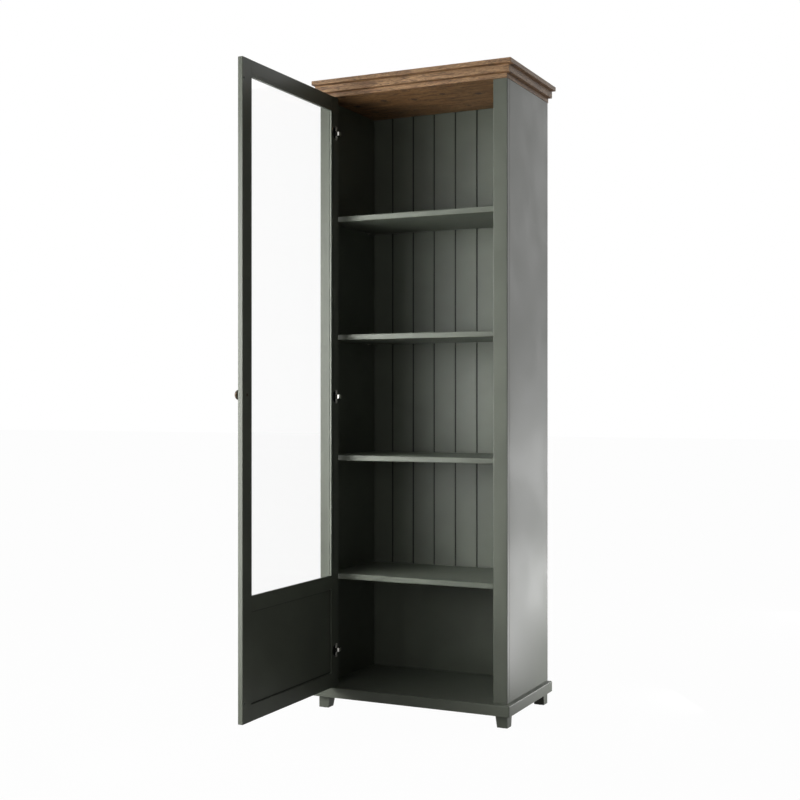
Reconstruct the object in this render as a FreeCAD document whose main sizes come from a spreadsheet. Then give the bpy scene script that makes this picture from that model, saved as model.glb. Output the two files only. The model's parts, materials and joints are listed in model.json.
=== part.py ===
import FreeCAD, Part
import math
import os
import re
import Sketcher

# A tall display bookcase with one framed, glazed door that stands open.
# +Z is up, the front looks along -Y, and +X is to the right seen from the front.
# The origin is on the floor, at the middle of the width, in the plane of the back.
# All sizes are millimetres.

SIZES = [
    # carcass
    ("carcass_width", 650.0, "over the outer faces of the side panels and pilasters"),
    ("carcass_depth", 372.0, "front of the pilasters to the back edge of the side panels"),
    ("opening_height", 1900.0, "base board to cornice"),
    ("panel_thick", 16.0, "side panels"),
    ("pilaster_width", 47.0, "upright boards beside the doorway"),
    ("pilaster_thick", 18.0, "upright boards beside the doorway"),
    ("pilaster_inner_radius", 4.0, "front edge that the door swings past"),
    ("pilaster_outer_radius", 2.5, "front edge at the outer corner"),
    ("seam_radius", 1.5, "both edges of the seam between pilaster and side panel"),
    # base and feet
    ("base_thick", 33.0, "base board"),
    ("base_side_overhang", 17.0, "base board beyond the side panels"),
    ("base_front_overhang", 29.5, "base board beyond the pilasters"),
    ("base_back_setback", 6.0, "base board and back feet in front of the back plane"),
    ("base_edge_radius", 2.5, "eased edges of the base board"),
    ("foot_height", 41.0, "wooden foot without its glide"),
    ("foot_bottom_side", 34.0, "square sole of a foot"),
    ("foot_top_side", 40.0, "square top of a foot"),
    ("foot_side_inset", 16.0, "outer face of a foot from the side of the base board"),
    ("foot_front_inset", 27.0, "front face of a front foot from the front of the base board"),
    ("glide_thick", 2.0, "plastic glide under a foot"),
    ("glide_radius", 10.0, "plastic glide under a foot"),
    ("bolt_radius", 4.0, "hanger bolt of a foot"),
    ("bolt_depth_in_foot", 24.0, "hanger bolt below the base board"),
    ("bolt_depth_in_base", 22.0, "hanger bolt above the foot"),
    # cornice, three boards that step outwards
    ("cornice_lower_thick", 14.0, "lower board, the ceiling of the cabinet"),
    ("cornice_lower_left", 2.0, "its overhang at the left, where the cornice is nearly flush"),
    ("cornice_lower_right", 2.0, "its overhang at the right"),
    ("cornice_lower_front", 7.0, "its overhang at the front"),
    ("cornice_middle_thick", 22.0, "middle board"),
    ("cornice_middle_left", 4.5, "its overhang at the left"),
    ("cornice_middle_right", 15.0, "its overhang at the right"),
    ("cornice_middle_front", 24.5, "its overhang at the front"),
    ("cornice_top_thick", 13.5, "top board"),
    ("cornice_top_left", 6.5, "its overhang at the left"),
    ("cornice_top_right", 27.5, "its overhang at the right"),
    ("cornice_top_front", 44.5, "its overhang at the front"),
    ("cornice_edge_radius", 1.2, "eased edges of the cornice boards"),
    # back
    ("back_thick", 6.0, "back panels"),
    ("back_recess", 6.0, "outer face of the back panels in front of the back plane"),
    ("rabbet_width", 8.0, "step in a side panel that takes the back panels"),
    ("plank_pitch", 79.0, "distance between the grooves of the upper back panel"),
    ("plank_groove_width", 4.5, "grooves of the upper back panel"),
    ("plank_groove_depth", 3.0, "grooves of the upper back panel"),
    ("nail_radius", 0.8, "back nail"),
    ("nail_head_radius", 2.4, "back nail"),
    ("nail_head_thick", 0.8, "back nail"),
    ("nail_length", 18.0, "back nail under its head"),
    ("nail_spacing", 182.0, "distance between back nails"),
    ("nail_end_distance", 45.0, "least distance of a nail from the end of a back panel"),
    # shelves
    ("shelf_thick", 17.0, "shelves"),
    ("shelf_setback", 5.0, "front edge behind the back of the pilasters"),
    ("shelf_end_gap", 1.0, "between a shelf and each side panel"),
    ("shelf_back_gap", 0.5, "between a shelf and the back panel"),
    ("shelf_edge_radius", 1.5, "eased front edges"),
    ("shelf_1_height", 359.0, "top of the lowest shelf above the base board"),
    ("shelf_2_height", 743.5, "top of the second shelf above the base board"),
    ("shelf_3_height", 1134.5, "top of the third shelf above the base board"),
    ("shelf_4_height", 1517.5, "top of the highest shelf above the base board"),
    ("pin_radius", 2.5, "shelf pin"),
    ("pin_depth", 9.0, "shelf pin inside the side panel"),
    ("pin_tab_reach", 8.0, "flat tab of a shelf pin, out from the side panel"),
    ("pin_tab_width", 9.0, "flat tab of a shelf pin"),
    ("pin_tab_thick", 3.0, "flat tab of a shelf pin"),
    ("pin_end_distance", 45.0, "shelf pin from the front or back edge of its shelf"),
    # dowels
    ("dowel_radius", 4.0, "dowels of the carcass and the cornice"),
    ("dowel_depth", 12.0, "half of a carcass dowel"),
    ("dowel_front_distance", 68.0, "front carcass dowel behind the pilaster's front"),
    ("dowel_back_distance", 60.0, "back carcass dowel in front of the back plane"),
    ("seam_dowel_radius", 3.0, "dowels between pilaster and side panel"),
    ("seam_dowel_depth", 11.0, "half of such a dowel"),
    ("seam_dowel_end", 150.0, "least distance of such a dowel from the ends of the pilaster"),
    ("seam_dowel_spacing", 400.0, "distance between such dowels"),
    ("cornice_dowel_side", 240.0, "outer cornice dowels from the middle"),
    ("cornice_dowel_in_lower", 9.0, "cornice dowel inside the lower board"),
    ("cornice_dowel_in_top", 7.0, "cornice dowel inside the top board"),
    # door
    ("door_thick", 16.0, "stiles and rails"),
    ("door_gap", 3.7, "closed door to the front of the pilasters"),
    ("door_bottom_gap", 2.0, "door to base board"),
    ("door_top_gap", 4.0, "door to cornice"),
    ("hinge_overlay", 7.0, "closed door over the left pilaster"),
    ("latch_overlay", 9.0, "closed door over the right pilaster"),
    ("stile_width", 46.5, "upright members of the door"),
    ("top_rail_height", 46.0, "top rail"),
    ("middle_rail_height", 43.0, "middle rail"),
    ("bottom_rail_height", 48.0, "bottom rail"),
    ("lower_panel_height", 266.0, "visible height of the wooden panel"),
    ("door_swing_radius", 4.0, "back edge of the hinge stile, which turns past the pilaster"),
    ("door_edge_radius", 1.5, "other outer edges of the door"),
    ("panel_board_thick", 6.0, "wooden panel in the lower door"),
    ("groove_depth", 8.0, "groove that holds the wooden panel"),
    ("panel_edge_gap", 1.0, "wooden panel or glass to the bottom of its groove or rebate"),
    ("tenon_length", 12.0, "tenon of a rail"),
    ("tenon_thick", 6.0, "tenon of a rail"),
    ("tenon_shoulder", 10.0, "tenon to the upper and lower edge of its rail"),
    ("glass_thick", 4.0, "pane"),
    ("glass_lip", 6.0, "frame in front of the pane"),
    ("rebate_width", 6.0, "step that takes the pane and its beads"),
    ("bead_overhang", 2.5, "glazing beads beyond the frame, over the pane"),
    # knob
    ("knob_radius", 14.5, "rim of the knob"),
    ("knob_projection", 22.0, "knob out from the door"),
    ("knob_rim_height", 11.5, "rim of the knob from the door"),
    ("knob_rim_thick", 1.5, "rim of the knob"),
    ("knob_foot_radius", 9.0, "foot of the knob on the door"),
    ("knob_foot_thick", 2.5, "foot of the knob on the door"),
    ("knob_flare_radius", 6.5, "neck of the knob where it meets the foot"),
    ("knob_neck_radius", 5.0, "narrowest part of the knob"),
    ("knob_neck_height", 6.5, "narrowest part from the door"),
    ("knob_edge_distance", 24.0, "knob's middle from the free edge of the door"),
    ("knob_height", 934.8, "knob's middle above the lower edge of the door"),
    ("knob_screw_radius", 2.0, "screw of the knob"),
    ("knob_screw_head_radius", 4.5, "screw of the knob"),
    ("knob_screw_head_thick", 2.5, "screw of the knob"),
    ("knob_screw_reach", 9.0, "screw inside the knob"),
    # hinges
    ("hinge_end_distance", 115.8, "upper and lower hinge from the ends of the door"),
    ("hinge_middle_height", 931.5, "middle hinge above the lower edge of the door"),
    ("hinge_pin_inset", 10.2, "hinge pin from the inner face of the left pilaster"),
    ("hinge_pin_depth", 10.5, "hinge pin from the inner face of the door"),
    ("hinge_pin_radius", 1.0, "hinge pin"),
    ("hinge_running_gap", 0.05, "hinge pin to the eye of the arm, on the radius"),
    ("hinge_pin_end_inset", 0.1, "ends of the hinge pin inside the outer face of the cup"),
    ("hinge_eye_end_gap", 0.4, "ends of the arm's eye to the wall of the cup"),
    ("cup_radius", 17.5, "hinge cup"),
    ("cup_depth", 13.5, "hinge cup"),
    ("cup_wall", 0.8, "hinge cup"),
    ("cup_edge_distance", 4.5, "cup to the hinge edge of the door"),
    ("flange_thick", 1.2, "rim of the hinge cup on the door"),
    ("flange_rim", 1.0, "rim beyond the cup"),
    ("flange_length", 43.0, "ears of the rim, over their ends"),
    ("flange_width", 10.0, "ears of the rim"),
    ("flange_offset", 5.0, "ears and their screws from the middle of the cup, to the door's edge"),
    ("hinge_screw_radius", 1.5, "hinge screws"),
    ("hinge_screw_head_radius", 2.4, "hinge screws"),
    ("hinge_screw_head_thick", 1.4, "hinge screws"),
    ("hinge_screw_length", 12.0, "hinge screws"),
    ("cup_screw_offset", 18.6, "cup screws above and below the middle of the cup"),
    ("arm_height", 12.0, "hinge arm"),
    ("arm_thick", 2.0, "hinge arm"),
    ("arm_eye_radius", 1.8, "eye of the hinge arm around the pin"),
    ("arm_reach", 17.0, "arm's stem beyond the pin, away from the pilaster"),
    ("arm_rise", 6.2, "bend between neck and stem, behind the pin"),
    ("arm_door_gap", 0.7, "arm to the door's edge as it turns past"),
    ("wing_thick", 1.8, "plate of the arm on the pilaster"),
    ("wing_width", 12.0, "plate of the arm on the pilaster"),
    ("wing_height", 40.0, "plate of the arm on the pilaster"),
    ("wing_screw_offset", 13.0, "arm screws above and below the middle of the plate"),
    # bumpers
    ("bumper_radius", 2.8, "soft bumpers on the door"),
    ("bumper_edge_distance", 4.6, "bumper's middle from the free edge of the door"),
    ("bumper_end_distance", 60.0, "bumper's middle from the ends of the door"),
    ("bumper_contact_gap", 0.3, "closed door's bumpers to the pilaster"),
]

# Places that follow from the sizes. A name here may be used in any formula below it.
PLACES = {
    "half_width": "carcass_width / 2",
    "inner_half": "half_width - panel_thick",
    "doorway_half": "half_width - pilaster_width",
    "front_y": "-carcass_depth",
    "pilaster_back_y": "front_y + pilaster_thick",
    "back_inner_y": "-back_recess - back_thick",
    "base_bottom": "glide_thick + foot_height",
    "base_top": "base_bottom + base_thick",
    "base_half": "half_width + base_side_overhang",
    "base_front_y": "front_y - base_front_overhang",
    "ceiling": "base_top + opening_height",
    "cornice_middle_bottom": "ceiling + cornice_lower_thick",
    "cornice_top_bottom": "cornice_middle_bottom + cornice_middle_thick",
    "back_split": "base_top + shelf_1_height - shelf_thick / 2",
    "shelf_front_y": "pilaster_back_y + shelf_setback",
    "shelf_back_y": "back_inner_y - shelf_back_gap",
    "pin_x": "hinge_pin_inset - doorway_half",
    "pin_y": "front_y - door_gap - hinge_pin_depth",
    "pin_from_edge": "hinge_pin_inset + hinge_overlay",
    "door_inner_x": "pin_x + hinge_pin_depth",
    "door_outer_x": "door_inner_x - door_thick",
    "door_middle_x": "door_inner_x - door_thick / 2",
    "door_hinge_y": "pin_y + pin_from_edge",
    "door_width": "2 * doorway_half + hinge_overlay + latch_overlay",
    "door_free_y": "door_hinge_y - door_width",
    "hinge_stile_y": "door_hinge_y - stile_width",
    "free_stile_y": "door_free_y + stile_width",
    "door_bottom": "base_top + door_bottom_gap",
    "door_top": "ceiling - door_top_gap",
    "bottom_rail_top": "door_bottom + bottom_rail_height",
    "middle_rail_bottom": "bottom_rail_top + lower_panel_height",
    "middle_rail_top": "middle_rail_bottom + middle_rail_height",
    "top_rail_bottom": "door_top - top_rail_height",
    "glass_back_x": "door_outer_x + glass_lip",
    "glass_front_x": "glass_back_x + glass_thick",
    "cup_y": "door_hinge_y - cup_edge_distance - cup_radius",
    "ears_y": "cup_y + flange_offset",
    "cup_hollow_radius": "cup_radius - cup_wall",
    "pin_off_cup": "cup_edge_distance + cup_radius - pin_from_edge",
    "half_hinge_pin": "sqrt(cup_radius ^ 2 - (pin_off_cup + hinge_pin_radius) ^ 2)"
                      " - hinge_pin_end_inset",
    "half_eye": "sqrt(cup_hollow_radius ^ 2 - (pin_off_cup + arm_eye_radius) ^ 2)"
                " - hinge_eye_end_gap",
    "door_sweep": "sqrt((pin_from_edge - door_swing_radius) ^ 2"
                  " + (hinge_pin_depth - door_swing_radius) ^ 2) + door_swing_radius",
    "crossbar_rise": "door_sweep + arm_door_gap",
    "knob_y": "door_free_y + knob_edge_distance",
    "knob_z": "door_bottom + knob_height",
    "knob_dome_rise": "knob_projection - knob_rim_height - knob_rim_thick",
    "knob_dome_radius": "(knob_radius ^ 2 + knob_dome_rise ^ 2) / (2 * knob_dome_rise)",
}

doc = FreeCAD.newDocument("display_bookcase")
sheet = doc.addObject("Spreadsheet::Sheet", "sizes")
for row, (alias, value, note) in enumerate(SIZES, start=1):
    sheet.set("A%d" % row, alias)
    sheet.set("B%d" % row, str(value))
    sheet.setAlias("B%d" % row, alias)
    sheet.set("C%d" % row, note)
probe = doc.addObject("App::FeaturePython", "probe")
probe.addProperty("App::PropertyFloat", "Value")
doc.recompute()
ALIASES = {alias for alias, value, note in SIZES}
NODES = []
WORD = re.compile(r"[a-z][a-z_0-9]*")
OUT_OF_X = FreeCAD.Rotation(FreeCAD.Vector(0, 1, 0), 90)
TURNS = {
    "+z": FreeCAD.Rotation(),
    "+x": OUT_OF_X,
    "-x": FreeCAD.Rotation(FreeCAD.Vector(0, 1, 0), -90),
    "+y": FreeCAD.Rotation(FreeCAD.Vector(1, 0, 0), -90),
    "-y": FreeCAD.Rotation(FreeCAD.Vector(1, 0, 0), 90),
}


def formula(text):
    """Replace each place by its own formula and each size by its cell."""
    def expand(match):
        word = match.group()
        if word in PLACES:
            return "(" + formula(PLACES[word]) + ")"
        return "sizes." + word if word in ALIASES else word
    return WORD.sub(expand, text)


def number(text):
    """The present value of a formula, for counts and for picking edges."""
    probe.setExpression("Value", formula(text))
    probe.recompute()
    return probe.Value


def bind(thing, values):
    for name, text in values.items():
        thing.setExpression(name, formula(text))


def put(thing, point, turn=None):
    if turn is not None:
        thing.Placement = FreeCAD.Placement(FreeCAD.Vector(), turn)
    bind(thing, {".Placement.Base." + axis: text for axis, text in zip("xyz", point)})
    return thing


def span(low, high):
    return {"Length": "(%s) - (%s)" % (high[0], low[0]),
            "Width": "(%s) - (%s)" % (high[1], low[1]),
            "Height": "(%s) - (%s)" % (high[2], low[2])}


def box(label, low, high):
    """A square-edged block between two corners."""
    thing = doc.addObject("Part::Box", label)
    thing.Label = label
    bind(thing, span(low, high))
    return put(thing, low)


def edges_at(shape, corners):
    """Names of the straight edges at corners such as "x-y+": least x, greatest y."""
    whole = shape.BoundBox
    limits = {"x-": whole.XMin, "x+": whole.XMax, "y-": whole.YMin, "y+": whole.YMax,
              "z-": whole.ZMin, "z+": whole.ZMax}
    names = []
    for corner in corners:
        marks = [corner[:2], corner[2:]]
        for index, edge in enumerate(shape.Edges, start=1):
            middle = edge.CenterOfMass
            place = {"x": middle.x, "y": middle.y, "z": middle.z}
            if all(abs(place[mark[0]] - limits[mark]) < 1e-6 for mark in marks):
                names.append("Edge%d" % index)
    return names


def board(label, low, high, eased):
    """A board between two corners whose named edges are rounded."""
    body = doc.addObject("PartDesign::Body", label)
    body.Label = label
    blank = body.newObject("PartDesign::AdditiveBox", label + "_blank")
    bind(blank, span(low, high))
    put(body, low)
    last = blank
    for number_, (radius, corners) in enumerate(eased.items(), start=1):
        doc.recompute()
        rounding = body.newObject("PartDesign::Fillet", "%s_easing_%d" % (label, number_))
        rounding.Base = (last, edges_at(last.Shape, corners))
        rounding.setExpression("Radius", formula(radius))
        last = rounding
    body.Tip = last
    return body


def rod(label, radius, start, direction, length):
    """A round bar from a point along a row axis."""
    thing = doc.addObject("Part::Cylinder", label)
    thing.Label = label
    bind(thing, {"Radius": radius, "Height": length})
    return put(thing, start, TURNS[direction])


def screw(label, head, direction, sizes):
    """A countersunk screw whose head is flush with the point it starts from."""
    radius, head_radius, head_thick, length = sizes
    top = doc.addObject("Part::Cone", label + "_head")
    bind(top, {"Radius1": head_radius, "Radius2": radius, "Height": head_thick})
    put(top, head, TURNS[direction])
    return fuse(label, [top, rod(label + "_shank", radius, head, direction, length)])


def fuse(label, things):
    joined = doc.addObject("Part::MultiFuse", label)
    joined.Label = label
    joined.Shapes = things
    return joined


def group(label, things):
    """Separate like pieces that share a node."""
    several = doc.addObject("Part::Compound", label)
    several.Label = label
    several.Links = things
    return several


def cut(label, base, tools):
    result = doc.addObject("Part::Cut", label)
    result.Label = label
    result.Base = base
    result.Tool = tools[0] if len(tools) == 1 else group(label + "_cutters", tools)
    return result


def outline(body, label, points):
    """A closed sketch of straight lines on the body's XY plane, each corner set by two sizes."""
    sketch = body.newObject("Sketcher::SketchObject", label)
    plane = [part for part in body.Origin.OriginFeatures if part.Role == "XY_Plane"][0]
    sketch.AttachmentSupport = [(plane, "")]
    sketch.MapMode = "FlatFace"
    here = [FreeCAD.Vector(number(x), number(y), 0) for x, y in points]
    count = len(points)
    for index in range(count):
        line = Part.LineSegment(here[index], here[(index + 1) % count])
        sketch.addGeometry(line, False)
    for index in range(count):
        following = (index + 1) % count
        sketch.addConstraint(Sketcher.Constraint("Coincident", index, 2, following, 1))
    for index, corner in enumerate(points):
        for kind, text in zip(("DistanceX", "DistanceY"), corner):
            rule = Sketcher.Constraint(kind, -1, 1, index, 1, number(text))
            made = sketch.addConstraint(rule)
            sketch.setExpression("Constraints[%d]" % made, formula(text))
    return sketch


def steps(first, last, spacing):
    """As many places as fit between first and last, a spacing apart, in the middle."""
    gaps = math.floor((number(last) - number(first)) / number(spacing) + 1e-9)
    return ["((%s) + (%s)) / 2 + (%s) * (%d / 2)" % (first, last, spacing, 2 * index - gaps)
            for index in range(gaps + 1)]


def node(label, thing):
    thing.Label = label
    NODES.append(thing)
    return thing


def mirrored(side, inner, outer):
    """Low and high X of something between two distances from the middle."""
    if side == "left":
        return "-(%s)" % outer, "-(%s)" % inner
    return inner, outer


SIGN = {"left": "-", "right": ""}


# ---- feet, glides and hanger bolts -------------------------------------------------

def make_feet():
    glides, bolts = [], []
    for depth in ("front", "back"):
        for side in ("left", "right"):
            name = "foot_%s_%s" % (depth, side)
            outer_x = SIGN[side] + "(base_half - foot_side_inset)"
            fixed_y = "base_front_y + foot_front_inset"
            if depth == "back":
                fixed_y = "-base_back_setback"
            foot = doc.addObject("Part::Wedge", name + "_block")
            # the wedge's own Y is the foot's height, and its own Z looks to the front
            x_way = "" if side == "left" else "-"
            z_way = "-" if depth == "front" else ""
            for key, size in (("", "foot_bottom_side"), ("2", "foot_top_side")):
                low, high = ("0", size) if side == "left" else ("-" + size, "0")
                bind(foot, {"X%smin" % key: low, "X%smax" % key: high})
                low, high = ("-" + size, "0") if depth == "front" else ("0", size)
                bind(foot, {"Z%smin" % key: low, "Z%smax" % key: high})
            bind(foot, {"Ymin": "0", "Ymax": "foot_height"})
            put(foot, (outer_x, fixed_y, "glide_thick"), TURNS["-y"])
            middle_x = "%s %s foot_bottom_side / 2" % (outer_x, x_way or "+")
            middle_y = "%s %s foot_bottom_side / 2" % (fixed_y, "+" if z_way else "-")
            start = "base_bottom - bolt_depth_in_foot"
            bolt = rod(name + "_bolt", "bolt_radius", (middle_x, middle_y, start), "+z",
                       "bolt_depth_in_foot + bolt_depth_in_base")
            bolts.append(bolt)
            glides.append(rod(name + "_glide", "glide_radius", (middle_x, middle_y, "0"),
                              "+z", "glide_thick"))
            node(name, cut(name, foot, [bolt]))
    node("foot_glides", group("foot_glides", glides))
    return node("foot_bolts", group("foot_bolts", bolts))


# ---- dowels ------------------------------------------------------------------------

def make_carcass_dowels():
    dowels = []
    for side in ("left", "right"):
        middle_x = SIGN[side] + "(half_width - panel_thick / 2)"
        for y in ("front_y + dowel_front_distance", "-dowel_back_distance"):
            for level in ("base_top", "ceiling"):
                start = (middle_x, y, "%s - dowel_depth" % level)
                dowels.append(rod("carcass_dowel", "dowel_radius", start, "+z",
                                  "2 * dowel_depth"))
    return node("carcass_dowels", group("carcass_dowels", dowels))


def make_pilaster_dowels():
    dowels = []
    levels = steps("base_top + seam_dowel_end", "ceiling - seam_dowel_end",
                   "seam_dowel_spacing")
    for side in ("left", "right"):
        middle_x = SIGN[side] + "(half_width - panel_thick / 2)"
        for level in levels:
            start = (middle_x, "pilaster_back_y - seam_dowel_depth", level)
            dowels.append(rod("pilaster_dowel", "seam_dowel_radius", start, "+y",
                              "2 * seam_dowel_depth"))
    return node("pilaster_dowels", group("pilaster_dowels", dowels))


def make_cornice_dowels():
    dowels = []
    for x in ("-cornice_dowel_side", "0", "cornice_dowel_side"):
        for y in ("front_y + dowel_front_distance", "-dowel_back_distance"):
            start = (x, y, "cornice_middle_bottom - cornice_dowel_in_lower")
            dowels.append(rod("cornice_dowel", "dowel_radius", start, "+z",
                              "cornice_dowel_in_lower + cornice_middle_thick"
                              " + cornice_dowel_in_top"))
    return node("cornice_dowels", group("cornice_dowels", dowels))


# ---- carcass -----------------------------------------------------------------------

def make_base(bolts, dowels):
    blank = board("base_board_blank", ("-base_half", "base_front_y", "base_bottom"),
                  ("base_half", "-base_back_setback", "base_top"),
                  {"base_edge_radius": ["x-y-", "x+y-", "y-z+", "x-z+", "x+z+"]})
    return node("base_board", cut("base_board", blank, [bolts, dowels]))


def make_back_nails():
    nails = []
    for low, high in (("base_top", "back_split"), ("back_split", "ceiling")):
        levels = steps("%s + nail_end_distance" % low, "%s - nail_end_distance" % high,
                       "nail_spacing")
        for side in ("left", "right"):
            x = SIGN[side] + "(inner_half + rabbet_width / 2)"
            for level in levels:
                point = (x, "-back_recess + nail_head_thick", level)
                head = rod("nail_head", "nail_head_radius", point, "-y", "nail_head_thick")
                shank = rod("nail_shank", "nail_radius", point, "-y",
                            "nail_head_thick + nail_length")
                nails.append(fuse("back_nail", [head, shank]))
    return node("back_nails", group("back_nails", nails))


def make_back(nails):
    edge_x = "inner_half + rabbet_width"
    low = ("-(%s)" % edge_x, "back_inner_y", "base_top")
    high = (edge_x, "-back_recess", "back_split")
    node("back_panel_plain", cut("back_panel_plain", box("plain_blank", low, high), [nails]))
    upper = box("grooved_blank", (low[0], low[1], "back_split"), (high[0], high[1], "ceiling"))
    tools = [nails]
    count = int(number("inner_half") / number("plank_pitch"))
    for index in range(-count, count + 1):
        middle = "plank_pitch * %d" % index
        tools.append(box("plank_groove",
                         (middle + " - plank_groove_width / 2", "back_inner_y", "back_split"),
                         (middle + " + plank_groove_width / 2",
                          "back_inner_y + plank_groove_depth", "ceiling")))
    node("back_panel_grooved", cut("back_panel_grooved", upper, tools))


def make_shelf_pins():
    pins = []
    for number_ in (1, 2, 3, 4):
        under = "base_top + shelf_%d_height - shelf_thick" % number_
        for side in ("left", "right"):
            for y in ("shelf_front_y + pin_end_distance", "shelf_back_y - pin_end_distance"):
                wall = SIGN[side] + "inner_half"
                way = "-x" if side == "left" else "+x"
                stem = rod("shelf_pin_stem", "pin_radius", (wall, y, under + " - pin_radius"),
                           way, "pin_depth")
                low_x, high_x = mirrored(side, "inner_half - pin_tab_reach", "inner_half")
                tab = box("shelf_pin_tab",
                          (low_x, y + " - pin_tab_width / 2", under + " - pin_tab_thick"),
                          (high_x, y + " + pin_tab_width / 2", under))
                pins.append(fuse("shelf_pin", [stem, tab]))
    return node("shelf_pins", group("shelf_pins", pins))


def make_sides(carcass_dowels, seam_dowels, nails, pins, arm_screws):
    for side in ("left", "right"):
        outer = "x-" if side == "left" else "x+"
        inner = "x+" if side == "left" else "x-"
        low_x, high_x = mirrored(side, "inner_half", "half_width")
        blank = board(side + "_side_blank", (low_x, "pilaster_back_y", "base_top"),
                      (high_x, "0", "ceiling"), {"seam_radius": [outer + "y-", outer + "y+"]})
        low_x, high_x = mirrored(side, "inner_half", "inner_half + rabbet_width")
        rabbet = box(side + "_rabbet", (low_x, "back_inner_y", "base_top"),
                     (high_x, "0", "ceiling"))
        node(side + "_side_panel", cut(side + "_side_panel", blank,
                                       [rabbet, carcass_dowels, seam_dowels, nails, pins]))
        low_x, high_x = mirrored(side, "doorway_half", "half_width")
        front = board(side + "_pilaster_blank", (low_x, "front_y", "base_top"),
                      (high_x, "pilaster_back_y", "ceiling"),
                      {"pilaster_inner_radius": [inner + "y-"],
                       "pilaster_outer_radius": [outer + "y-"],
                       "seam_radius": [outer + "y+"]})
        tools = [seam_dowels] + ([arm_screws] if side == "left" else [])
        node(side + "_pilaster", cut(side + "_pilaster", front, tools))


def make_shelves():
    names = ("shelf_lowest", "shelf_second", "shelf_third", "shelf_highest")
    for number_, name in enumerate(names, start=1):
        top = "base_top + shelf_%d_height" % number_
        end_x = "inner_half - shelf_end_gap"
        node(name, board(name, ("-(%s)" % end_x, "shelf_front_y", top + " - shelf_thick"),
                         (end_x, "shelf_back_y", top), {"shelf_edge_radius": ["y-z+", "y-z-"]}))


def make_cornice(dowels, carcass_dowels):
    layers = (("cornice_lower_board", "ceiling", "cornice_lower"),
              ("cornice_middle_board", "cornice_middle_bottom", "cornice_middle"),
              ("cornice_top_board", "cornice_top_bottom", "cornice_top"))
    for name, bottom, size in layers:
        blank = board(name + "_blank",
                      ("-(half_width + %s_left)" % size, "front_y - %s_front" % size, bottom),
                      ("half_width + %s_right" % size, "0", "%s + %s_thick" % (bottom, size)),
                      {"cornice_edge_radius": ["x-y-", "x+y-", "y-z+", "y-z-",
                                               "x-z+", "x+z+", "x-z-", "x+z-"]})
        tools = [dowels, carcass_dowels] if size == "cornice_lower" else [dowels]
        node(name, cut(name, blank, tools))


# ---- hinges ------------------------------------------------------------------------

HINGES = (("top", "door_top - hinge_end_distance"),
          ("middle", "door_bottom + hinge_middle_height"),
          ("bottom", "door_bottom + hinge_end_distance"))
HINGE_SCREW = ("hinge_screw_radius", "hinge_screw_head_radius", "hinge_screw_head_thick",
               "hinge_screw_length")


def make_hinge_pins():
    pins = []
    for name, level in HINGES:
        start = ("pin_x", "pin_y", "%s - half_hinge_pin" % level)
        pins.append(rod("hinge_pin_" + name, "hinge_pin_radius", start, "+z",
                        "2 * half_hinge_pin"))
    return node("hinge_pins", group("hinge_pins", pins))


def make_hinge_screws():
    cup_screws, arm_screws = [], []
    for name, level in HINGES:
        for way in ("+", "-"):
            point = ("door_inner_x + flange_thick", "ears_y",
                     "%s %s cup_screw_offset" % (level, way))
            cup_screws.append(screw("cup_screw_" + name, point, "-x", HINGE_SCREW))
            point = ("wing_thick - doorway_half", "pin_y + crossbar_rise + wing_width / 2",
                     "%s %s wing_screw_offset" % (level, way))
            arm_screws.append(screw("arm_screw_" + name, point, "-x", HINGE_SCREW))
    return (node("hinge_cup_screws", group("hinge_cup_screws", cup_screws)),
            node("hinge_arm_screws", group("hinge_arm_screws", arm_screws)))


def make_hinge_cups(pins, screws):
    """The cups are sunk in the door with their mouths towards the cabinet."""
    blanks = []
    for name, level in HINGES:
        start = ("door_inner_x - cup_depth", "cup_y", level)
        blank = rod("cup_blank_" + name, "cup_radius", start, "+x", "cup_depth")
        blanks.append(blank)
        rim = rod("cup_rim_" + name, "cup_radius + flange_rim", ("door_inner_x", "cup_y", level),
                  "+x", "flange_thick")
        ears = box("cup_ears_" + name,
                   ("door_inner_x", "ears_y - flange_width / 2", level + " - flange_length / 2"),
                   ("door_inner_x + flange_thick", "ears_y + flange_width / 2",
                    level + " + flange_length / 2"))
        hollow = rod("cup_hollow_" + name, "cup_hollow_radius",
                     ("door_inner_x - cup_depth + cup_wall", "cup_y", level), "+x",
                     "cup_depth + flange_thick")
        label = "hinge_cup_" + name
        node(label, cut(label, fuse(label + "_solid", [blank, rim, ears]),
                        [hollow, pins, screws]))
    return blanks


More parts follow.
